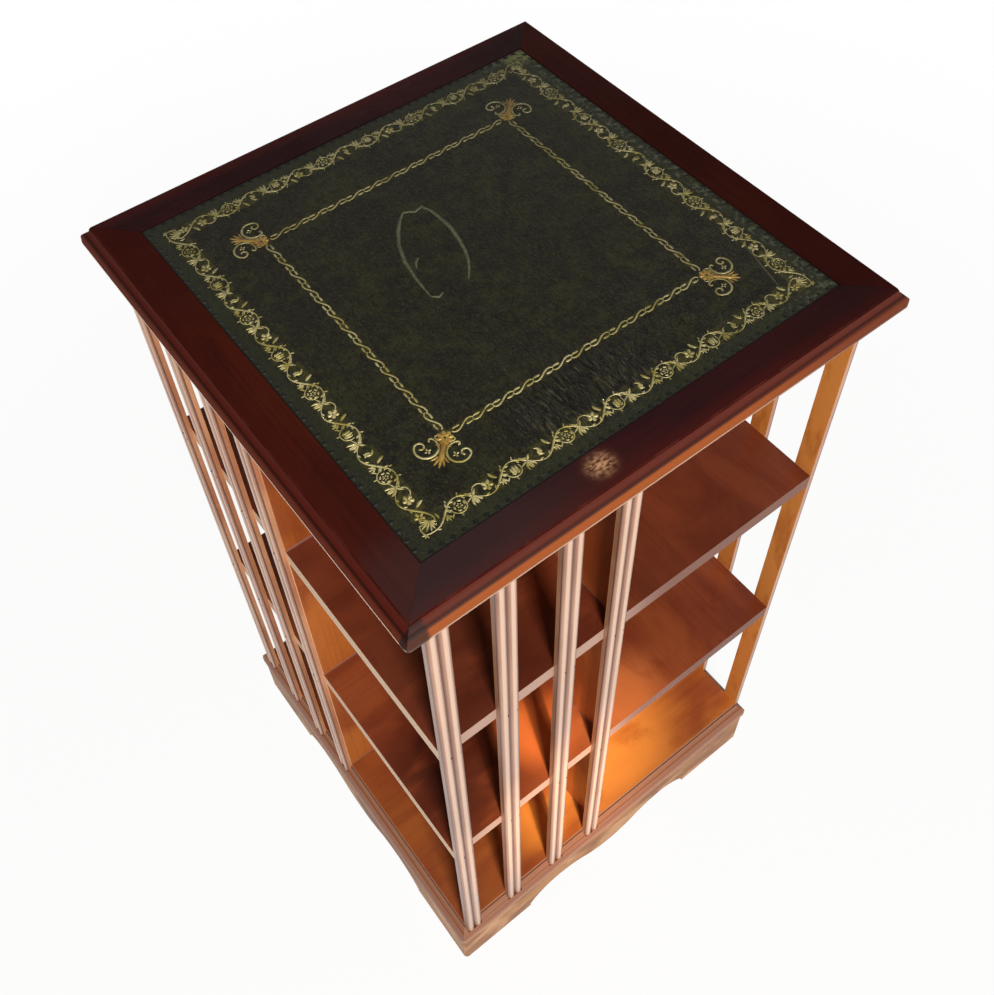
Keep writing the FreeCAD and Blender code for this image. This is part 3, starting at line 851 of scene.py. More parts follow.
@dataclass
class ScrollRoll:
    """The wide border: a waving stem with roses, flowers, tulips and crescents."""

    name: str = "gilt_scroll_border"
    middle: float = 178.0
    length: float = 46.9
    swing: float = 6.7
    waves: int = 7
    boldness: float = 1.32

    def stem(self) -> list[Stroke]:
        """Draw what every wave has: the stem, a tendril below its crest and its leaves.

        Returns:
            The strokes.
        """
        crest, start = -self.length / 4, -self.length / 2
        strokes = [Stroke.wave(self.length, self.swing, (0.32, 0.7), 21),
                   Stroke.curl((crest - 0.2, -0.4), (188, 380), (6.5, 5.2), (0.42, 0.28), 14)]
        for angle, size, width, bend in (
                (186, 6.6, 0.42, 26), (218, 8.0, 0.7, 50), (250, 7.0, 0.7, 30),
                (292, 7.0, 0.75, -26), (328, 7.0, 0.6, -46), (108, 6.4, 0.45, 34),
                (64, 5.6, 0.45, -34), (150, 6.0, 0.5, -30), (20, 4.6, 0.4, 40)):
            strokes.append(Stroke.leaf((0.0, 0.0), angle, size * 1.08, width * 1.2, bend))
        for angle, size in ((238, 4.8), (270, 5.4), (302, 4.6)):
            strokes.append(Stroke.leaf((start + 0.6, -1.6), angle, size, 0.6, tip=0.4))
        for share, side, size in ((0.08, 1, 3.4), (0.15, -1, 3.0), (0.36, -1, 3.4), (0.44, 1, 3.4),
                                  (0.57, -1, 3.4), (0.66, 1, 3.2), (0.84, 1, 3.4), (0.93, -1, 3.2)):
            turn = 2 * math.pi * share
            slope = math.atan2(2 * math.pi * self.swing * math.cos(turn), self.length)
            strokes.append(Stroke.leaf((self.length * (share - 0.5), self.swing * math.sin(turn)),
                                       math.degrees(slope) + side * 56, size, 0.6, -side * 26, 0.4))
        strokes += [Stroke.leaf((-start - 1.6, 1.6), 138, 7.4, 1.0, -36, 0.4),
                    Stroke.leaf((start + 2.0, 2.2), -52, 5.0, 0.7, 24),
                    Stroke.leaf((start + 4.2, 4.6), -66, 3.4, 0.55, 20),
                    Stroke.leaf((start + 5.4, 6.4), 100, 2.6, 0.45, -30),
                    Stroke.leaf((crest + 2.4, 6.6), -10, 6.8, 0.8, -34),
                    Stroke.leaf((crest + 3.0, 7.0), 40, 3.0, 0.5, 30),
                    Stroke.leaf((crest - 7.0, -1.6), 150, 4.2, 0.5, -30),
                    Stroke.leaf((crest - 6.2, -3.6), 204, 4.4, 0.5, 30),
                    Stroke.leaf((crest - 2.0, -6.4), 250, 2.8, 0.45, 30)]
        return strokes

    def rose_wave(self) -> list[Stroke]:
        """Draw the wave with a rose under its crest and a flower over its trough.

        Returns:
            The strokes.
        """
        rose = (-self.length / 4, -0.6)
        flower = (self.length / 4 + 1.2, 0.9)
        strokes = self.stem() + Stroke.ring_of_leaves(rose, 6, 0.8, 1.6, 0.4, tip=0.5)
        for number in range(6):
            strokes.append(Stroke.curl(rose, (60 * number - 20, 60 * number + 20), (3.9, 3.9),
                                       (0.7, 0.3), 5))
        return (strokes + Stroke.ring_of_leaves(flower, 5, 0.6, 3.6, 1.25, 52.0, 0.6)
                + [Stroke.curl((flower[0] - 6.6, 1.4), (192, 8), (5.2, 4.8), (0.42, 0.3))])

    def tulip_wave(self) -> list[Stroke]:
        """Draw the wave with a tulip under its crest and a crescent over its trough.

        Returns:
            The strokes.
        """
        crest = -self.length / 4
        strokes = self.stem() + [Stroke.leaf((crest, -3.8), 90, 6.4, 1.25, tip=0.3)]
        for side in (1, -1):
            strokes += [Stroke.leaf((crest + side * 1.3, -3.6), 90 - side * 22, 5.6, 0.95,
                                    side * 20, 0.3),
                        Stroke.leaf((crest + side * 0.6, -4.4), 90 - side * 76, 3.4, 0.55,
                                    side * 40)]
        strokes.append(Stroke.curl((5.0 - crest / 3, 1.6), (78, -82), (3.6, 3.4), (1.0, 0.3)))
        for angle in (-34, 12, 54):
            strokes.append(Stroke.leaf((-2.2 - crest, -0.2), angle, 4.4, 0.75))
        return strokes

    def corner(self) -> list[Stroke]:
        """Draw the two ends of the stem and the fan that turn a corner, out along +X.

        Returns:
            The strokes.
        """
        strokes = [Stroke(((-9.9, 9.9), (-3.4, 9.3), (0.0, 8.4), (3.1, 6.4), (6.4, 2.9),
                           (8.1, -0.4), (5.7, -3.6), (2.5, -5.3)),
                          (0.75, 0.6, 0.45, 0.4, 0.4, 0.4, 0.4, 0.3)),
                   Stroke(((-9.9, -9.9), (-9.3, -3.4), (-7.9, 0.9), (-6.2, 3.3), (-3.6, 3.6)),
                          (0.75, 0.6, 0.45, 0.4, 0.6)),
                   Stroke.leaf((-3.5, 0.0), 0, 9.0, 0.8)]
        for angle, size in ((26, 8.4), (50, 7.6), (78, 6.4), (112, 5.0)):
            blade = Stroke.leaf((-3.0, 0.4), angle, size, 0.7, -angle / 4)
            strokes += [blade, blade.mirrored()]
        for angle in (-48, 0, 48):
            strokes.append(Stroke.leaf((7.6, 0.0), angle, 3.4, 0.5))
        strokes += Stroke.ring_of_leaves((-5.2, -6.6), 5, 0.6, 3.2, 1.0, 20.0, 0.6)
        return strokes + [Stroke.leaf((-6.0, 6.6), 205, 5.0, 0.6, 40),
                          Stroke.leaf((2.6, 6.2), 80, 3.6, 0.5, 30)]


@dataclass
class RopeRoll:
    """The narrow line: hooked strands like the turns of a rope, with a leaf on each side."""

    name: str = "gilt_rope_line"
    middle: float = 125.0
    reach: float = 119.0
    turns: int = 13

    @property
    def length(self) -> float:
        """Length of one turn."""
        return 2 * self.reach / self.turns

    def strokes(self) -> list[Stroke]:
        """Draw one turn.

        Returns:
            The strokes.
        """
        strand = ((-9.7, -0.2), (-9.2, -1.5), (-7.6, -2.3), (-5.0, -2.3), (-2.2, -1.2),
                  (0.0, 0.0), (2.2, 1.2), (5.0, 2.3), (7.6, 2.3), (9.2, 1.5), (9.7, 0.2))
        blade = ((8.4, -1.3), (6.4, -1.6), (4.2, -1.5), (2.4, -1.4))
        return [Stroke(strand, (0.45, 0.6, 0.75, 0.8, 0.75, 0.7, 0.75, 0.8, 0.75, 0.6, 0.45)),
                Stroke(blade, (0.3, 0.8, 1.05, 0.7)),
                Stroke(tuple((-across, -up) for across, up in blade), (0.3, 0.8, 1.05, 0.7))]


@dataclass
class CornerStamp:
    """The corner ornament: a fan of leaves on a stem between two volutes."""

    name: str = "gilt_corner_stamps"
    volutes: str = "gilt_corner_volutes"
    middle: float = 125.2
    flatness: float = 0.07

    def stem(self) -> list[Stroke]:
        """Draw the stem and its leaves, pointing out along +X from the rope's corner.

        Returns:
            The strokes.
        """
        strokes = [Stroke(((5.4, 0.0), (8.0, 0.0), (12.0, 0.0), (16.0, 0.0), (20.0, 0.0),
                           (23.0, 0.0)), (3.2, 2.6, 2.0, 2.3, 2.6, 1.6)),
                   Stroke.leaf((20.0, 0.0), 0, 8.6, 1.2, tip=0.3)]
        strokes += Stroke.ring_of_leaves((2.2, 0.0), 8, 0.9, 5.2, 2.1, 22.5, 0.6)
        for root, angle, size, width in (((19.0, 0.8), 18, 8.6, 1.1), ((18.0, 1.4), 38, 7.6, 1.0),
                                         ((8.4, 2.2), 66, 3.6, 0.9)):
            blade = Stroke.leaf(root, angle, size, width, angle / 4)
            strokes += [blade, blade.mirrored()]
        return strokes

    def scrolls(self) -> list[Stroke]:
        """Draw the volutes and the small crosses beside the stem.

        Returns:
            The strokes.
        """
        half = [Stroke.curl((2.2, 5.4), (-60, 230), (2.2, 1.3), (0.7, 0.5), 9),
                Stroke.curl((13.0, 11.9), (-156, 96), (9.2, 8.3), (1.0, 0.75), 22),
                Stroke.curl((12.9, 15.9), (97, 372), (4.3, 1.5), (0.8, 0.95), 14),
                Stroke.curl((6.0, 9.7), (-128, -335), (2.0, 1.1), (0.8, 0.9), 9),
                *Stroke.ring_of_leaves((15.4, 9.9), 4, 0.5, 2.0, 0.8, 45.0, 0.5)]
        return half + [stroke.mirrored() for stroke in half]


@dataclass
class EdgeIron:
    """The row of half-round marks that a hot iron left along the edge of the hide."""

    name: str = "scorched_edge_marks"
    pitch: float = 9.2
    depth: float = 4.4
    half_width: float = 2.3
    inset: float = 0.6
    end_gap: float = 3.0
    flatness: float = 0.03

    def strokes(self) -> list[Stroke]:
        """Draw one mark, pointing inwards along +Y."""
        return [Stroke.leaf((0.0, 0.0), 90, self.depth, self.half_width, tip=0.4)]


class Impression:
    """Strokes pressed on the leather: drawn once, then copied to every place."""

    def __init__(self, strokes: list[Stroke], level: float, flatness: float = 0.12) -> None:
        """Raise the strokes as thin pads at the middle of the leather.

        Args:
            strokes: What is pressed.
            level: Height of the leather, in metres.
            flatness: Thickness of a stroke as a share of its width.
        """
        curve = bpy.data.curves.new("stroke", "CURVE")
        curve.dimensions = "3D"
        curve.bevel_depth = 1.0
        curve.bevel_resolution = 0
        curve.use_fill_caps = True
        for stroke in strokes:
            line = curve.splines.new("POLY")
            line.points.add(len(stroke.path) - 1)
            for point, (across, up), half in zip(line.points, stroke.path, stroke.half_widths):
                point.co = (across * MM, up * MM, 0.0, 1.0)
                point.radius = half * MM
        self.first = bpy.data.objects.new("stroke", curve)
        bpy.context.collection.objects.link(self.first)
        select_only(self.first)
        bpy.ops.object.convert(target="MESH")
        bpy.ops.object.mode_set(mode="EDIT")
        bpy.ops.mesh.select_all(action="SELECT")
        bpy.ops.transform.resize(value=(1.0, 1.0, flatness), center_override=(0.0, 0.0, 0.0))
        bpy.ops.transform.translate(value=(0.0, 0.0, level))
        bpy.ops.mesh.normals_make_consistent(inside=False)
        bpy.ops.object.mode_set(mode="OBJECT")
        bpy.ops.object.shade_smooth()

    def press(self, places: list[Matrix]) -> list[bpy.types.Object]:
        """Press the strokes at every place.

        Args:
            places: Where each print lies, from the middle of the leather.

        Returns:
            The prints.
        """
        prints = [copied(self.first, place) for place in places]
        bpy.data.objects.remove(self.first, do_unlink=True)
        return prints


# ------------------------------------------------------------------ handling pieces


def select_only(*objects: bpy.types.Object) -> None:
    """Select these objects alone and make the first one active.

    Args:
        objects: What is selected; the first becomes active.
    """
    bpy.ops.object.select_all(action="DESELECT")
    for item in objects:
        item.select_set(True)
    bpy.context.view_layer.objects.active = objects[0]


def copied(piece: bpy.types.Object, place: Matrix) -> bpy.types.Object:
    """Copy a piece with its own mesh, moved inside that mesh.

    Args:
        piece: The piece.
        place: Where its copy goes.

    Returns:
        The copy.
    """
    copy = piece.copy()
    copy.data = piece.data.copy()
    copy.data.transform(place)
    bpy.context.collection.objects.link(copy)
    return copy


def joined(name: str, pieces: list[bpy.types.Object]) -> bpy.types.Object:
    """Join pieces to one named piece.

    Args:
        name: Name of the piece.
        pieces: What is joined.

    Returns:
        The piece.
    """
    select_only(*pieces)
    bpy.ops.object.join()
    piece = bpy.context.view_layer.objects.active
    piece.name = name
    piece.data.name = name
    return piece


def quarter(number: int) -> Matrix:
    """Return a number of quarter turns round the spindle."""
    return Matrix.Rotation(math.radians(90 * number), 4, "Z")


def along_sides(count: int, pitch: float, reach: float, every: int = 1,
                first: int = 0) -> list[Matrix]:
    """List even places along the four sides of a square.

    Args:
        count: Places on a side.
        pitch: Distance between them, in mm.
        reach: Half width of the square, in mm.
        every: Step between the places that are used.
        first: The first one used.

    Returns:
        The places; +Y of a piece points to the middle of the square.
    """
    return [quarter(side) @ Matrix.Translation(((number - (count - 1) / 2) * pitch * MM,
                                                -reach * MM, 0.0))
            for side in range(4) for number in range(first, count, every)]


def at_corners(reach: float) -> list[Matrix]:
    """List the corners of a square.

    Args:
        reach: Half width of the square, in mm.

    Returns:
        The places; +X of a piece points outwards there.
    """
    corner = Matrix.Translation((reach * MM, reach * MM, 0.0))
    return [quarter(side) @ corner @ Matrix.Rotation(math.radians(45), 4, "Z")
            for side in range(4)]


def dress_nodes(material: bpy.types.Material, names: list[str]) -> None:
    """Give carried-over pieces one material.

    Args:
        material: The finish.
        names: The pieces' names.
    """
    for name in names:
        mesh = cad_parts[name].data
        mesh.materials.clear()
        mesh.materials.append(material)
        log.info("%s: %s", name, material.name)


def fit(piece: bpy.types.Object, material: bpy.types.Material, body: str) -> None:
    """Finish a new piece and let it move with a body.

    Args:
        piece: The piece.
        material: Its finish.
        body: The body that carries it.
    """
    piece.data.materials.clear()
    piece.data.materials.append(material)
    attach(piece, body)
    log.info("%s: %s, %d faces", piece.name, material.name, len(piece.data.polygons))


# ------------------------------------------------------------------ the bookcase


@dataclass
class LeatherTop:
    """The inset hide with its gilt rolls and stamps, iron marks and the ring of a vase."""

    body: str = "carcase"
    slot: str = "green_leather"
    cuts: int = 110
    swell: float = 0.05
    swell_size: float = 20.0
    rim_round: float = 0.4
    print_lift: float = 0.06
    ring_flatness: float = 0.03
    gold: GoldLeaf = GoldLeaf()
    amber: GoldLeaf = GoldLeaf("stamped_gold_leaf", "#b89a4c", "#967030", "#5e4c26")
    scorched: MarkedHide = MarkedHide("scorched_hide", "#0d0e0a", "#1c1f16")
    rubbed: MarkedHide = MarkedHide("rubbed_hide", "#5c6147", "#34372a")
    level: float = field(init=False)
    edge: float = field(init=False)
    thick: float = field(init=False)

    def __post_init__(self) -> None:
        """Take the height, half width and thickness of the hide from the frame."""
        low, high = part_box("leather")
        self.level = high.z
        self.edge = high.x / MM
        self.thick = high.z - low.z

    @property
    def lift(self) -> float:
        """Height at which gold is pressed, in metres."""
        return self.level + self.print_lift * MM

    def keep(self, name: str, prints: list[bpy.types.Object],
             material: bpy.types.Material) -> None:
        """Join prints to one named piece that rides with the hide."""
        fit(joined(name, prints), material, self.body)

    def stretch_hide(self) -> bpy.types.Object:
        """Model the hide: a fine grid that swells a little, with its under side and rim.

        Returns:
            The hide.
        """
        bpy.ops.object.select_all(action="DESELECT")
        bpy.ops.mesh.primitive_grid_add(x_subdivisions=self.cuts, y_subdivisions=self.cuts,
                                        size=2 * self.edge * MM, location=(0, 0, self.level))
        hide = bpy.context.view_layer.objects.active
        hide.name = hide.data.name = "leather_skin"
        bpy.ops.object.transform_apply(location=True, rotation=True, scale=True)
        cloud = bpy.data.textures.new("hide_swell", "CLOUDS")
        cloud.noise_scale = self.swell_size * MM
        swell = hide.modifiers.new("swell", "DISPLACE")
        swell.texture = cloud
        swell.texture_coords = "LOCAL"
        swell.direction = "Z"
        swell.strength = self.swell * MM
        wall = hide.modifiers.new("thickness", "SOLIDIFY")
        wall.thickness = self.thick
        wall.offset = -1.0
        rim = hide.modifiers.new("rim", "BEVEL")
        rim.width = self.rim_round * MM
        rim.segments = 2
        rim.limit_method = "ANGLE"
        rim.angle_limit = math.radians(60)
        for modifier in ("swell", "thickness", "rim"):
            bpy.ops.object.modifier_apply(modifier=modifier)
        bpy.ops.object.shade_smooth_by_angle(angle=math.radians(40))
        return hide

    def press_border(self, gold: bpy.types.Material) -> None:
        """Roll the wide border round the hide, and close its corners.

        Args:
            gold: The gold leaf.
        """
        roll = ScrollRoll()
        prints = []
        work = [(wave, along_sides(roll.waves, roll.length, roll.middle, 2, first))
                for first, wave in enumerate((roll.rose_wave(), roll.tulip_wave()))]
        for strokes, places in work + [(roll.corner(), at_corners(roll.middle))]:
            bold = [stroke.bolder(roll.boldness) for stroke in strokes]
            prints += Impression(bold, self.lift).press(places)
        self.keep(roll.name, prints, gold)

    def press_rope(self, gold: bpy.types.Material) -> None:
        """Roll the narrow line.

        Args:
            gold: The gold leaf.
        """
        roll = RopeRoll()
        places = along_sides(roll.turns, roll.length, roll.middle)
        self.keep(roll.name, Impression(roll.strokes(), self.lift).press(places), gold)

    def stamp_corners(self, gold: bpy.types.Material) -> None:
        """Stamp an ornament at each corner of the narrow line.

        Args:
            gold: The gold leaf of the volutes.
        """
        stamp = CornerStamp()
        amber = self.amber.make()
        for name, strokes, leaf in ((stamp.name, stamp.stem(), amber),
                                    (stamp.volutes, stamp.scrolls(), gold)):
            pressed = Impression(strokes, self.lift, stamp.flatness)
            prints = pressed.press(at_corners(stamp.middle))
            self.keep(name, prints, leaf)

    def scorch_edge(self, scorched: bpy.types.Material) -> None:
        """Press the row of iron marks along the edge.

        Args:
            scorched: The finish of the marks.
        """
        iron = EdgeIron()
        count = int(2 * (self.edge - iron.end_gap) / iron.pitch)
        places = along_sides(count, iron.pitch, self.edge - iron.inset)
        prints = Impression(iron.strokes(), self.level, iron.flatness).press(places)
        self.keep(iron.name, prints, scorched)

    def rub_ring(self, rubbed: bpy.types.Material) -> None:
        """Rub the broken oval where a vase was pushed about.

        Args:
            rubbed: The finish of the oval.
        """
        strokes = [
            Stroke(((-55, -10), (-53, 12), (-49, 34), (-42, 53), (-33, 67), (-25, 76), (-18, 82)),
                   (0.8, 1.6, 2.1, 1.8, 2.2, 1.7, 0.9)),
            Stroke(((-18, 82), (-13, 80), (-9, 77), (-4, 78), (0, 79)), (0.9, 1.5, 1.8, 1.4, 0.8)),
            Stroke(((-2, 80), (2, 70), (3, 56), (3, 42), (0, 28), (-4, 14), (-9, 3), (-15, -6),
                    (-21, -13)), (0.8, 1.4, 1.9, 2.2, 2.0, 1.7, 1.5, 1.2, 0.6)),
            Stroke(((-46, 22), (-43, 28), (-38, 31)), (0.6, 1.6, 0.8)),
            Stroke(((-55, -10), (-50, -14), (-45, -12)), (0.8, 1.6, 0.8))]
        ring = Impression(strokes, self.level + self.print_lift * MM / 2, self.ring_flatness)
        self.keep("rubbed_ring", ring.press([Matrix.Identity(4)]), rubbed)

    def build(self) -> None:
        """Build and dress the whole leather top."""
        hide = self.stretch_hide()
        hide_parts("leather")
        fit(hide, WaxedHide().make(), self.body)
        gold = self.gold.make()
        self.press_border(gold)
        self.press_rope(gold)
        self.stamp_corners(gold)
        self.scorch_edge(self.scorched.make())
        self.rub_ring(self.rubbed.make())


@dataclass
class SlattedSides:
    """The sixteen reeded slats and the panel pins that hold them to the shelves."""

    pin_offsets: tuple[float, float] = (-2.7, 6.3)
    pin_drop: float = 10.8
    hole_radius: float = 1.3
    hole_rim: float = 0.3
    hole_depth: float = 0.25
    pin_length: float = 0.8
    pin_stand: float = 0.06
    reed_radius: float = 6.7
    slots: int = 4
    # painted light: the slats laid paler than the case's boards, and the right and left slats, with
    # their crowns, paler than the front and back
    shades: tuple[tuple[str, str, str], ...] = (("#8c634c", "#a27c66", "#684434"),
                                                ("#a06c50", "#b98a6c", "#784a34"))
    crowns: tuple[str, str] = ("#d2b5a2", "#e0c2aa")
    punched: Metal = Metal("punched_steel_pin", "#0e0a08", 0.6, 0.3)

    def sink(self, offset: float) -> float:
        """Find how far the reeds lie below their crowns.

        Args:
            offset: Distance from the slat's middle, in mm.

        Returns:
            The depth there, in mm.
        """
        low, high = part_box("slat_front_1")
        aside = abs(offset) - (high.x - low.x) / MM / 4
        return self.reed_radius - math.sqrt(self.reed_radius ** 2 - aside ** 2)

    def one_pin(self) -> bpy.types.Object:
        """Model one punched pin, facing -Y: a dark hole with the head at its bottom.

        Returns:
            The pin.
        """
        bpy.ops.object.select_all(action="DESELECT")
        bpy.ops.mesh.primitive_cylinder_add(vertices=12, radius=self.hole_radius * MM,
                                            depth=self.pin_length * MM,
                                            rotation=(math.pi / 2, 0.0, 0.0))
        pin = bpy.context.view_layer.objects.active
        bpy.ops.object.transform_apply(location=True, rotation=True, scale=True)
        bpy.ops.object.mode_set(mode="EDIT")
        bpy.ops.mesh.select_all(action="SELECT")
        back = self.pin_length / 2 - self.pin_stand
        bpy.ops.transform.translate(value=(0.0, back * MM, 0.0))
        bpy.ops.mesh.select_all(action="DESELECT")
        bpy.ops.object.mode_set(mode="OBJECT")
        min(pin.data.polygons, key=lambda face: face.center.y).select = True
        bpy.ops.object.mode_set(mode="EDIT")
        bpy.ops.mesh.select_mode(type="FACE")
        bpy.ops.mesh.inset(thickness=self.hole_rim * MM)
        bpy.ops.transform.translate(value=(0.0, self.hole_depth * MM, 0.0))
        bpy.ops.object.mode_set(mode="OBJECT")
        return pin

    def pin_places(self, turn: int) -> list[Matrix]:
        """List where the pins of one side go.

        Args:
            turn: Quarter turns from the front.

        Returns:
            Their places.
        """
        tops = [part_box("shelf_%s_front" % level)[1].z for level in ("lower", "upper")]
        places = []
        for number in range(self.slots):
            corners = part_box("slat_%s_%d" % (SIDES[turn], number + 1))
            ends = [quarter(-turn) @ corner for corner in corners]
            middle = (ends[0].x + ends[1].x) / 2
            crown = min(end.y for end in ends)
            places += [quarter(turn) @ Matrix.Translation((middle + offset * MM,
                                                           crown + self.sink(offset) * MM,
                                                           top - self.pin_drop * MM))
                       for top in tops for offset in self.pin_offsets]
        return places

    def build(self) -> None:
        """Dress the slats and set the pins."""
        shelf_edge = -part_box("shelf_lower_front")[0].y / MM
        for sides, shades, crown in zip(PAIRS, self.shades, self.crowns):
            reeded = ReededMahogany("reeded_mahogany_" + sides[0], *shades, Run.Z, crown=crown,
                                    reach=shelf_edge)
            dress_nodes(reeded.make(), ["slat_%s_%d" % (side, number + 1)
                                        for side in sides for number in range(self.slots)])
        dark = self.punched.make()
        pin = self.one_pin()
        for turn, side in enumerate(SIDES):
            pins = [copied(pin, place) for place in self.pin_places(turn)]
            fit(joined("panel_pins_" + side, pins), dark, "carcase")
        bpy.data.objects.remove(pin, do_unlink=True)


@dataclass
class Carcase:
    """Top rails, partitions, shelves and the moulded bottom board."""

    rail: tuple[str, str, str] = ("#281012", "#321414", "#160809")
    # tier colours stand in for light: the upper shelves laid darker as painted shade, the bottom board
    # brighter as painted light
    upper: tuple[str, str, str] = ("#5c2616", "#743720", "#43190f")
    lower: tuple[str, str, str] = ("#6c2e18", "#8a4524", "#4e1d10")
    bottom: tuple[str, str, str] = ("#96481c", "#c0702c", "#6c2e14")
    base_edge: str = "#a27458"
    # painted shade (the dark patches) and painted sunlight (the orange patches) on the shelves and the
    # bottom board
    patches: dict[str, tuple[Patch, ...]] = field(default_factory=lambda: {
        "upper": (("#2e0d07", 0.5, (-140.0, -150.0), (110.0, 100.0)),),
        "lower": (("#34100a", 0.75, (-165.0, -155.0), (90.0, 100.0)),
                  ("#e0783a", 0.7, (-75.0, -165.0), (48.0, 50.0)),
                  ("#d07c46", 0.55, (18.0, -194.0), (70.0, 54.0))),
        "bottom": (("#e8923a", 0.8, (-85.0, -176.0), (50.0, 46.0)),
                   ("#e0903e", 0.75, (52.0, -170.0), (110.0, 80.0)))})
    # the uprights laid brighter orange than the shelves as painted light
    upright: tuple[tuple[str, str, str], ...] = (("#984820", "#bc662e", "#702e14"),
                                                 ("#864218", "#aa6228", "#602a10"))
    # painted shade: the right and left rails' mouldings laid darker than those of the front and back
    side_moulding: Moulding = (
        (-1.6, -0.2, "#3c120e", 0.5), (0.0, 0.1, "#4a1408", 0.9), (0.42, 0.55, "#220704", 0.9),
        (0.62, 0.78, "#5a200a", 0.9), (0.95, 1.0, "#6c3418", 0.6))

    def build(self) -> None:
        """Dress every board of the case."""
        edge = -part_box("shelf_lower_front")[0].y / MM
        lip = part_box("bottom_board")[1].x / MM
        for run, sides in zip((Run.X, Run.Y), PAIRS):
            for level, shades in (("upper", self.upper), ("lower", self.lower)):
                board = EdgedMahogany("lacquered_mahogany_%s_%s" % (level, run.name.lower()),
                                      *shades, run, reach=edge, patches=self.patches[level])
                dress_nodes(board.make(), ["shelf_%s_%s" % (level, side) for side in sides])
            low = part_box("top_rail_front")[0]
            rail = MouldedTopMahogany("polished_mahogany_" + run.name.lower(), *self.rail, run,
                                      roughness=0.2, coat=0.0, shine=0.28,
                                      lip=-low.y / MM, low=low.z / MM)
            # the right and left rails: a darker moulding as painted shade and a full painted highlight
            # on the lip
            if run is Run.Y:
                rail = replace(rail, heart="#3a140f", sap="#44190f", shine=0.12,
                               shades=self.side_moulding, lip_highlight=1.0)
            dress_nodes(rail.make(), ["top_rail_" + side for side in sides])
        base = MouldedBaseMahogany("lacquered_mahogany_bottom", *self.bottom, Run.X,
                                   roughness=0.44, edge=self.base_edge,
                                   left_edge=self.base_edge, kept_edge=self.base_edge,
                                   edge_rough=0.0, reach=edge,
                                   patches=self.patches["bottom"], lip=lip)
        dress_nodes(base.make(), ["bottom_board"])
        for shades, sides in zip(self.upright, PAIRS):
            tops = [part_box(name)[1].z / MM for name in ("bottom_board", "shelf_lower_front")]
            upright = DustAndShadeMahogany("lacquered_mahogany_upright_" + sides[0], *shades, Run.Z,
                                    reach=edge, shelf=tops[0], pitch=tops[1] - tops[0])
            dress_nodes(upright.make(), ["partition_" + side for side in sides])
        dress_nodes(BarePine().make(), ["top_panel"])


@dataclass
class Plinth:
    """Four mitred aprons with the hidden blocks and deck."""

    heart: str = "#86542e"
    sap: str = "#b27e4a"
    vein: str = "#5c361b"

    def build(self) -> None:
        """Dress the plinth."""
        for run, sides in zip((Run.X, Run.Y), PAIRS):
            wood = BlotchedMahogany("rubbed_mahogany_" + run.name.lower(), self.heart, self.sap,
                                    self.vein, run, roughness=0.5, coat=0.0, shine=0.25)
            dress_nodes(wood.make(), ["apron_" + side for side in sides])
        dress_nodes(BarePine("bare_pine_blocks").make(), ["corner_blocks", "plinth_deck"])


@dataclass
class Swivel:
    """The plates, rollers and spindle that the case turns on."""

    zinc: Metal = Metal("zinc_plated_steel", "#b9bab4", 0.4)
    turned: Metal = Metal("turned_steel", "#a3a19c", 0.3)
    brass: Metal = Metal("cast_brass", "#b8954a", 0.35)

    def build(self) -> None:
        """Dress the metal parts."""
        dress_nodes(self.zinc.make(), ["swivel_plate_lower", "swivel_plate_upper",
                                       "spindle_washer", "spindle_nut"])
        dress_nodes(self.turned.make(), ["spindle", "rollers"])
        dress_nodes(self.brass.make(), ["spindle_bush", "roller_cage"])


def bearing(azimuth: float, elevation: float) -> Vector:
    """Find the way out from the bookcase.

    Args:
        azimuth: Turn round the spindle, in degrees; 0 is straight in front.
        elevation: Angle above the floor, in degrees.

    Returns:
        A vector of length 1.
    """
    turn, lift = math.radians(azimuth), math.radians(elevation)
    return Vector((math.sin(turn) * math.cos(lift), -math.cos(turn) * math.cos(lift),
                   math.sin(lift)))


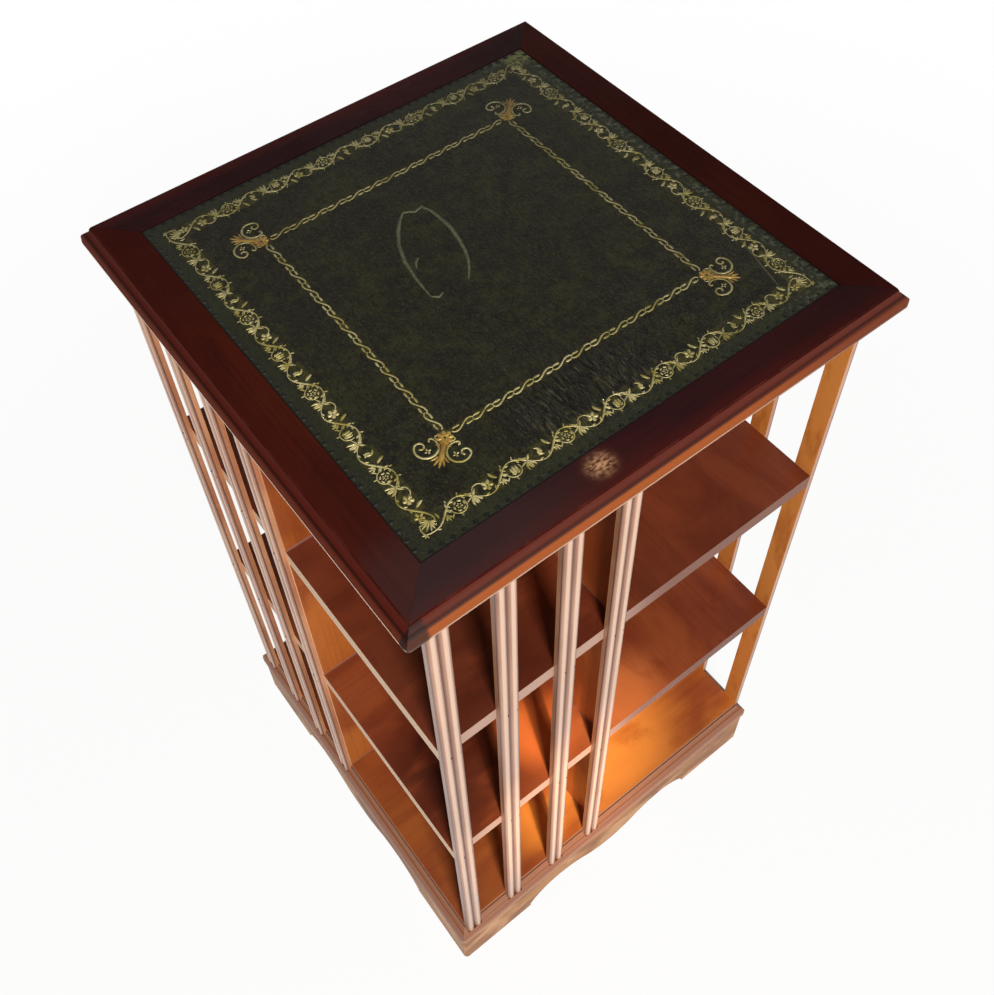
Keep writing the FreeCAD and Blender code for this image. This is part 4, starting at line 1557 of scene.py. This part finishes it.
@dataclass
class Studio:
    """Pale floor, one soft lamp, a room that is light below and darker above, the camera."""

    frame_size: tuple[int, int] = (994, 995)
    focal_px: float = 1166.5
    axis_px: tuple[float, float] = (489.7, 388.0)
    position: tuple[float, float, float] = (-0.3852, -0.5427, 1.5239)
    azimuth: float = -35.70
    elevation: float = 51.08
    roll: float = -2.29
    sensor_mm: float = 36.0
    lamp_azimuth: float = -22.0
    lamp_elevation: float = 38.0
    lamp_distance: float = 2.8
    lamp_size: float = 0.5
    lamp_watts: float = 90.0
    lamp_aim: tuple[float, float, float] = (0.0, 0.0, 0.45)
    beam_aim: tuple[float, float, float] = (-0.035, -0.19, 0.235)
    beam_degrees: float = 6.4
    beam_watts: float = 520.0
    beam_softness: float = 0.05
    beam_blend: float = 0.6
    horizon: Colour = (1.0, 1.0, 1.0, 1.0)
    overhead: Colour = (0.07, 0.07, 0.075, 1.0)
    zenith: Colour = (0.44, 0.4, 0.42, 1.0)
    low_light: Colour = (0.18, 0.18, 0.185, 1.0)
    high_light: Colour = (0.15, 0.155, 0.165, 1.0)
    ceiling_span: tuple[float, float] = (0.15, 0.6)
    zenith_span: tuple[float, float] = (0.8, 0.96)
    floor_size: float = 24.0
    floor_glow: float = 0.93
    shadow_span: tuple[float, float] = (0.5, 2.0)

    def place_camera(self) -> None:
        """Stand the camera at its measured place."""
        data = bpy.data.cameras.new("camera")
        data.sensor_fit = "HORIZONTAL"
        data.sensor_width = self.sensor_mm
        wide, high = self.frame_size
        data.lens = self.focal_px * self.sensor_mm / wide
        data.shift_x = (wide / 2 - self.axis_px[0]) / wide
        data.shift_y = (self.axis_px[1] - high / 2) / wide
        camera = bpy.data.objects.new("camera", data)
        bpy.context.collection.objects.link(camera)
        aim = (-bearing(self.azimuth, self.elevation)).to_track_quat("-Z", "Y").to_matrix()
        tilt = Matrix.Rotation(math.radians(self.roll), 4, "Z")
        camera.matrix_world = Matrix.Translation(self.position) @ aim.to_4x4() @ tilt
        bpy.context.scene.camera = camera

    def hang(self, light: bpy.types.Light, watts: float, shade: str,
             aim: tuple[float, float, float]) -> None:
        """Hang a light in front of the bookcase, to its left.

        Args:
            light: What is hung.
            watts: Its power.
            shade: Its colour, as hex.
            aim: The point that it faces.
        """
        light.energy = watts
        light.color = linear(shade)[:3]
        hung = bpy.data.objects.new(light.name, light)
        bpy.context.collection.objects.link(hung)
        back = bearing(self.lamp_azimuth, self.lamp_elevation)
        hung.location = Vector(aim) + back * self.lamp_distance
        hung.rotation_euler = back.to_track_quat("Z", "Y").to_euler()

    def hang_lamp(self) -> None:
        """Hang the large soft lamp."""
        lamp = bpy.data.lights.new("lamp", "AREA")
        lamp.shape = "SQUARE"
        lamp.size = self.lamp_size
        self.hang(lamp, self.lamp_watts, "#fff4e6", self.lamp_aim)

    def aim_beam(self) -> None:
        """Aim a narrow soft beam, warm as late sun, at the foot of the front."""
        beam = bpy.data.lights.new("beam", "SPOT")
        beam.spot_size = math.radians(self.beam_degrees)
        beam.spot_blend = self.beam_blend
        beam.shadow_soft_size = self.beam_softness
        self.hang(beam, self.beam_watts, "#ffd8a6", self.beam_aim)

    def seen(self, tree: bpy.types.NodeTree) -> Socket:
        """Tell the rays that are seen from those that only light.

        Args:
            tree: The node tree that asks.

        Returns:
            1 for rays from the camera, a gloss or through glass, and else 0.
        """
        rays = add_node(tree, "LightPath").node.outputs
        gloss = add_node(tree, "Math", {0: rays["Is Glossy Ray"], 1: rays["Is Transmission Ray"]},
                         operation="MAXIMUM")
        return add_node(tree, "Math", {0: rays["Is Camera Ray"], 1: gloss}, operation="MAXIMUM")

    def paint_room(self) -> None:
        """Surround the bookcase with soft light, white at the horizon and dark overhead."""
        world = bpy.data.worlds.new("studio")
        bpy.context.scene.world = world
        world.use_nodes = True
        tree = world.node_tree
        way = add_node(tree, "TexCoord", output="Generated")
        up = add_node(tree, "SeparateXYZ", {0: way}, "Z")
        ceiling, top = [add_node(tree, "MapRange", {"Value": up, "From Min": low, "From Max": high},
                                 interpolation_type="SMOOTHSTEP")
                        for low, high in (self.ceiling_span, self.zenith_span)]
        wall = add_node(tree, "Mix", {0: ceiling, 6: self.horizon, 7: self.overhead}, 2,
                        data_type="RGBA")
        shown = add_node(tree, "Mix", {0: top, 6: wall, 7: self.zenith}, 2, data_type="RGBA")
        light = add_node(tree, "Mix", {0: ceiling, 6: self.low_light, 7: self.high_light}, 2,
                         data_type="RGBA")
        mixed = add_node(tree, "Mix", {0: self.seen(tree), 6: light, 7: shown}, 2,
                         data_type="RGBA")
        tree.links.new(mixed, tree.nodes["Background"].inputs["Color"])

    def lay_floor(self) -> None:
        """Lay a pale floor that shows white and keeps the bookcase's soft shadow."""
        bpy.ops.object.select_all(action="DESELECT")
        bpy.ops.mesh.primitive_plane_add(size=self.floor_size)
        floor = bpy.context.view_layer.objects.active
        floor.name = "floor"
        paint = Coating("pale_studio_floor", "#e8e8e8")
        paint.finish(0.9, Specular_IOR_Level=0.0)
        glow = paint.add("Emission", {"Color": self.horizon})
        away = paint.add("VectorMath", {0: paint.place}, "Value", operation="LENGTH")
        near, far = self.shadow_span
        clear = paint.add("MapRange", {"Value": away, "From Min": near, "From Max": far,
                                       "To Min": self.floor_glow},
                          interpolation_type="SMOOTHSTEP")
        share = paint.add("Math", {0: self.seen(paint.tree), 1: clear}, operation="MULTIPLY")
        mixed = paint.add("MixShader", {0: share, 1: paint.shader.outputs[0], 2: glow})
        paint.tree.links.new(mixed, paint.tree.nodes["Material Output"].inputs["Surface"])
        floor.data.materials.append(paint.material)

    def build(self) -> None:
        """Set up the whole studio."""
        bpy.context.scene.view_settings.view_transform = "Standard"
        self.lay_floor()
        self.paint_room()
        self.hang_lamp()
        self.aim_beam()
        self.place_camera()


def main() -> None:
    """Dress the bookcase, sub-assembly by sub-assembly, and light it."""
    logging.basicConfig(level=logging.INFO, format="%(name)s: %(message)s")
    for part in (Plinth(), Swivel(), Carcase(), SlattedSides(), LeatherTop(), Studio()):
        log.info("building %s", type(part).__name__)
        part.build()


if __name__ == "__main__":
    main()
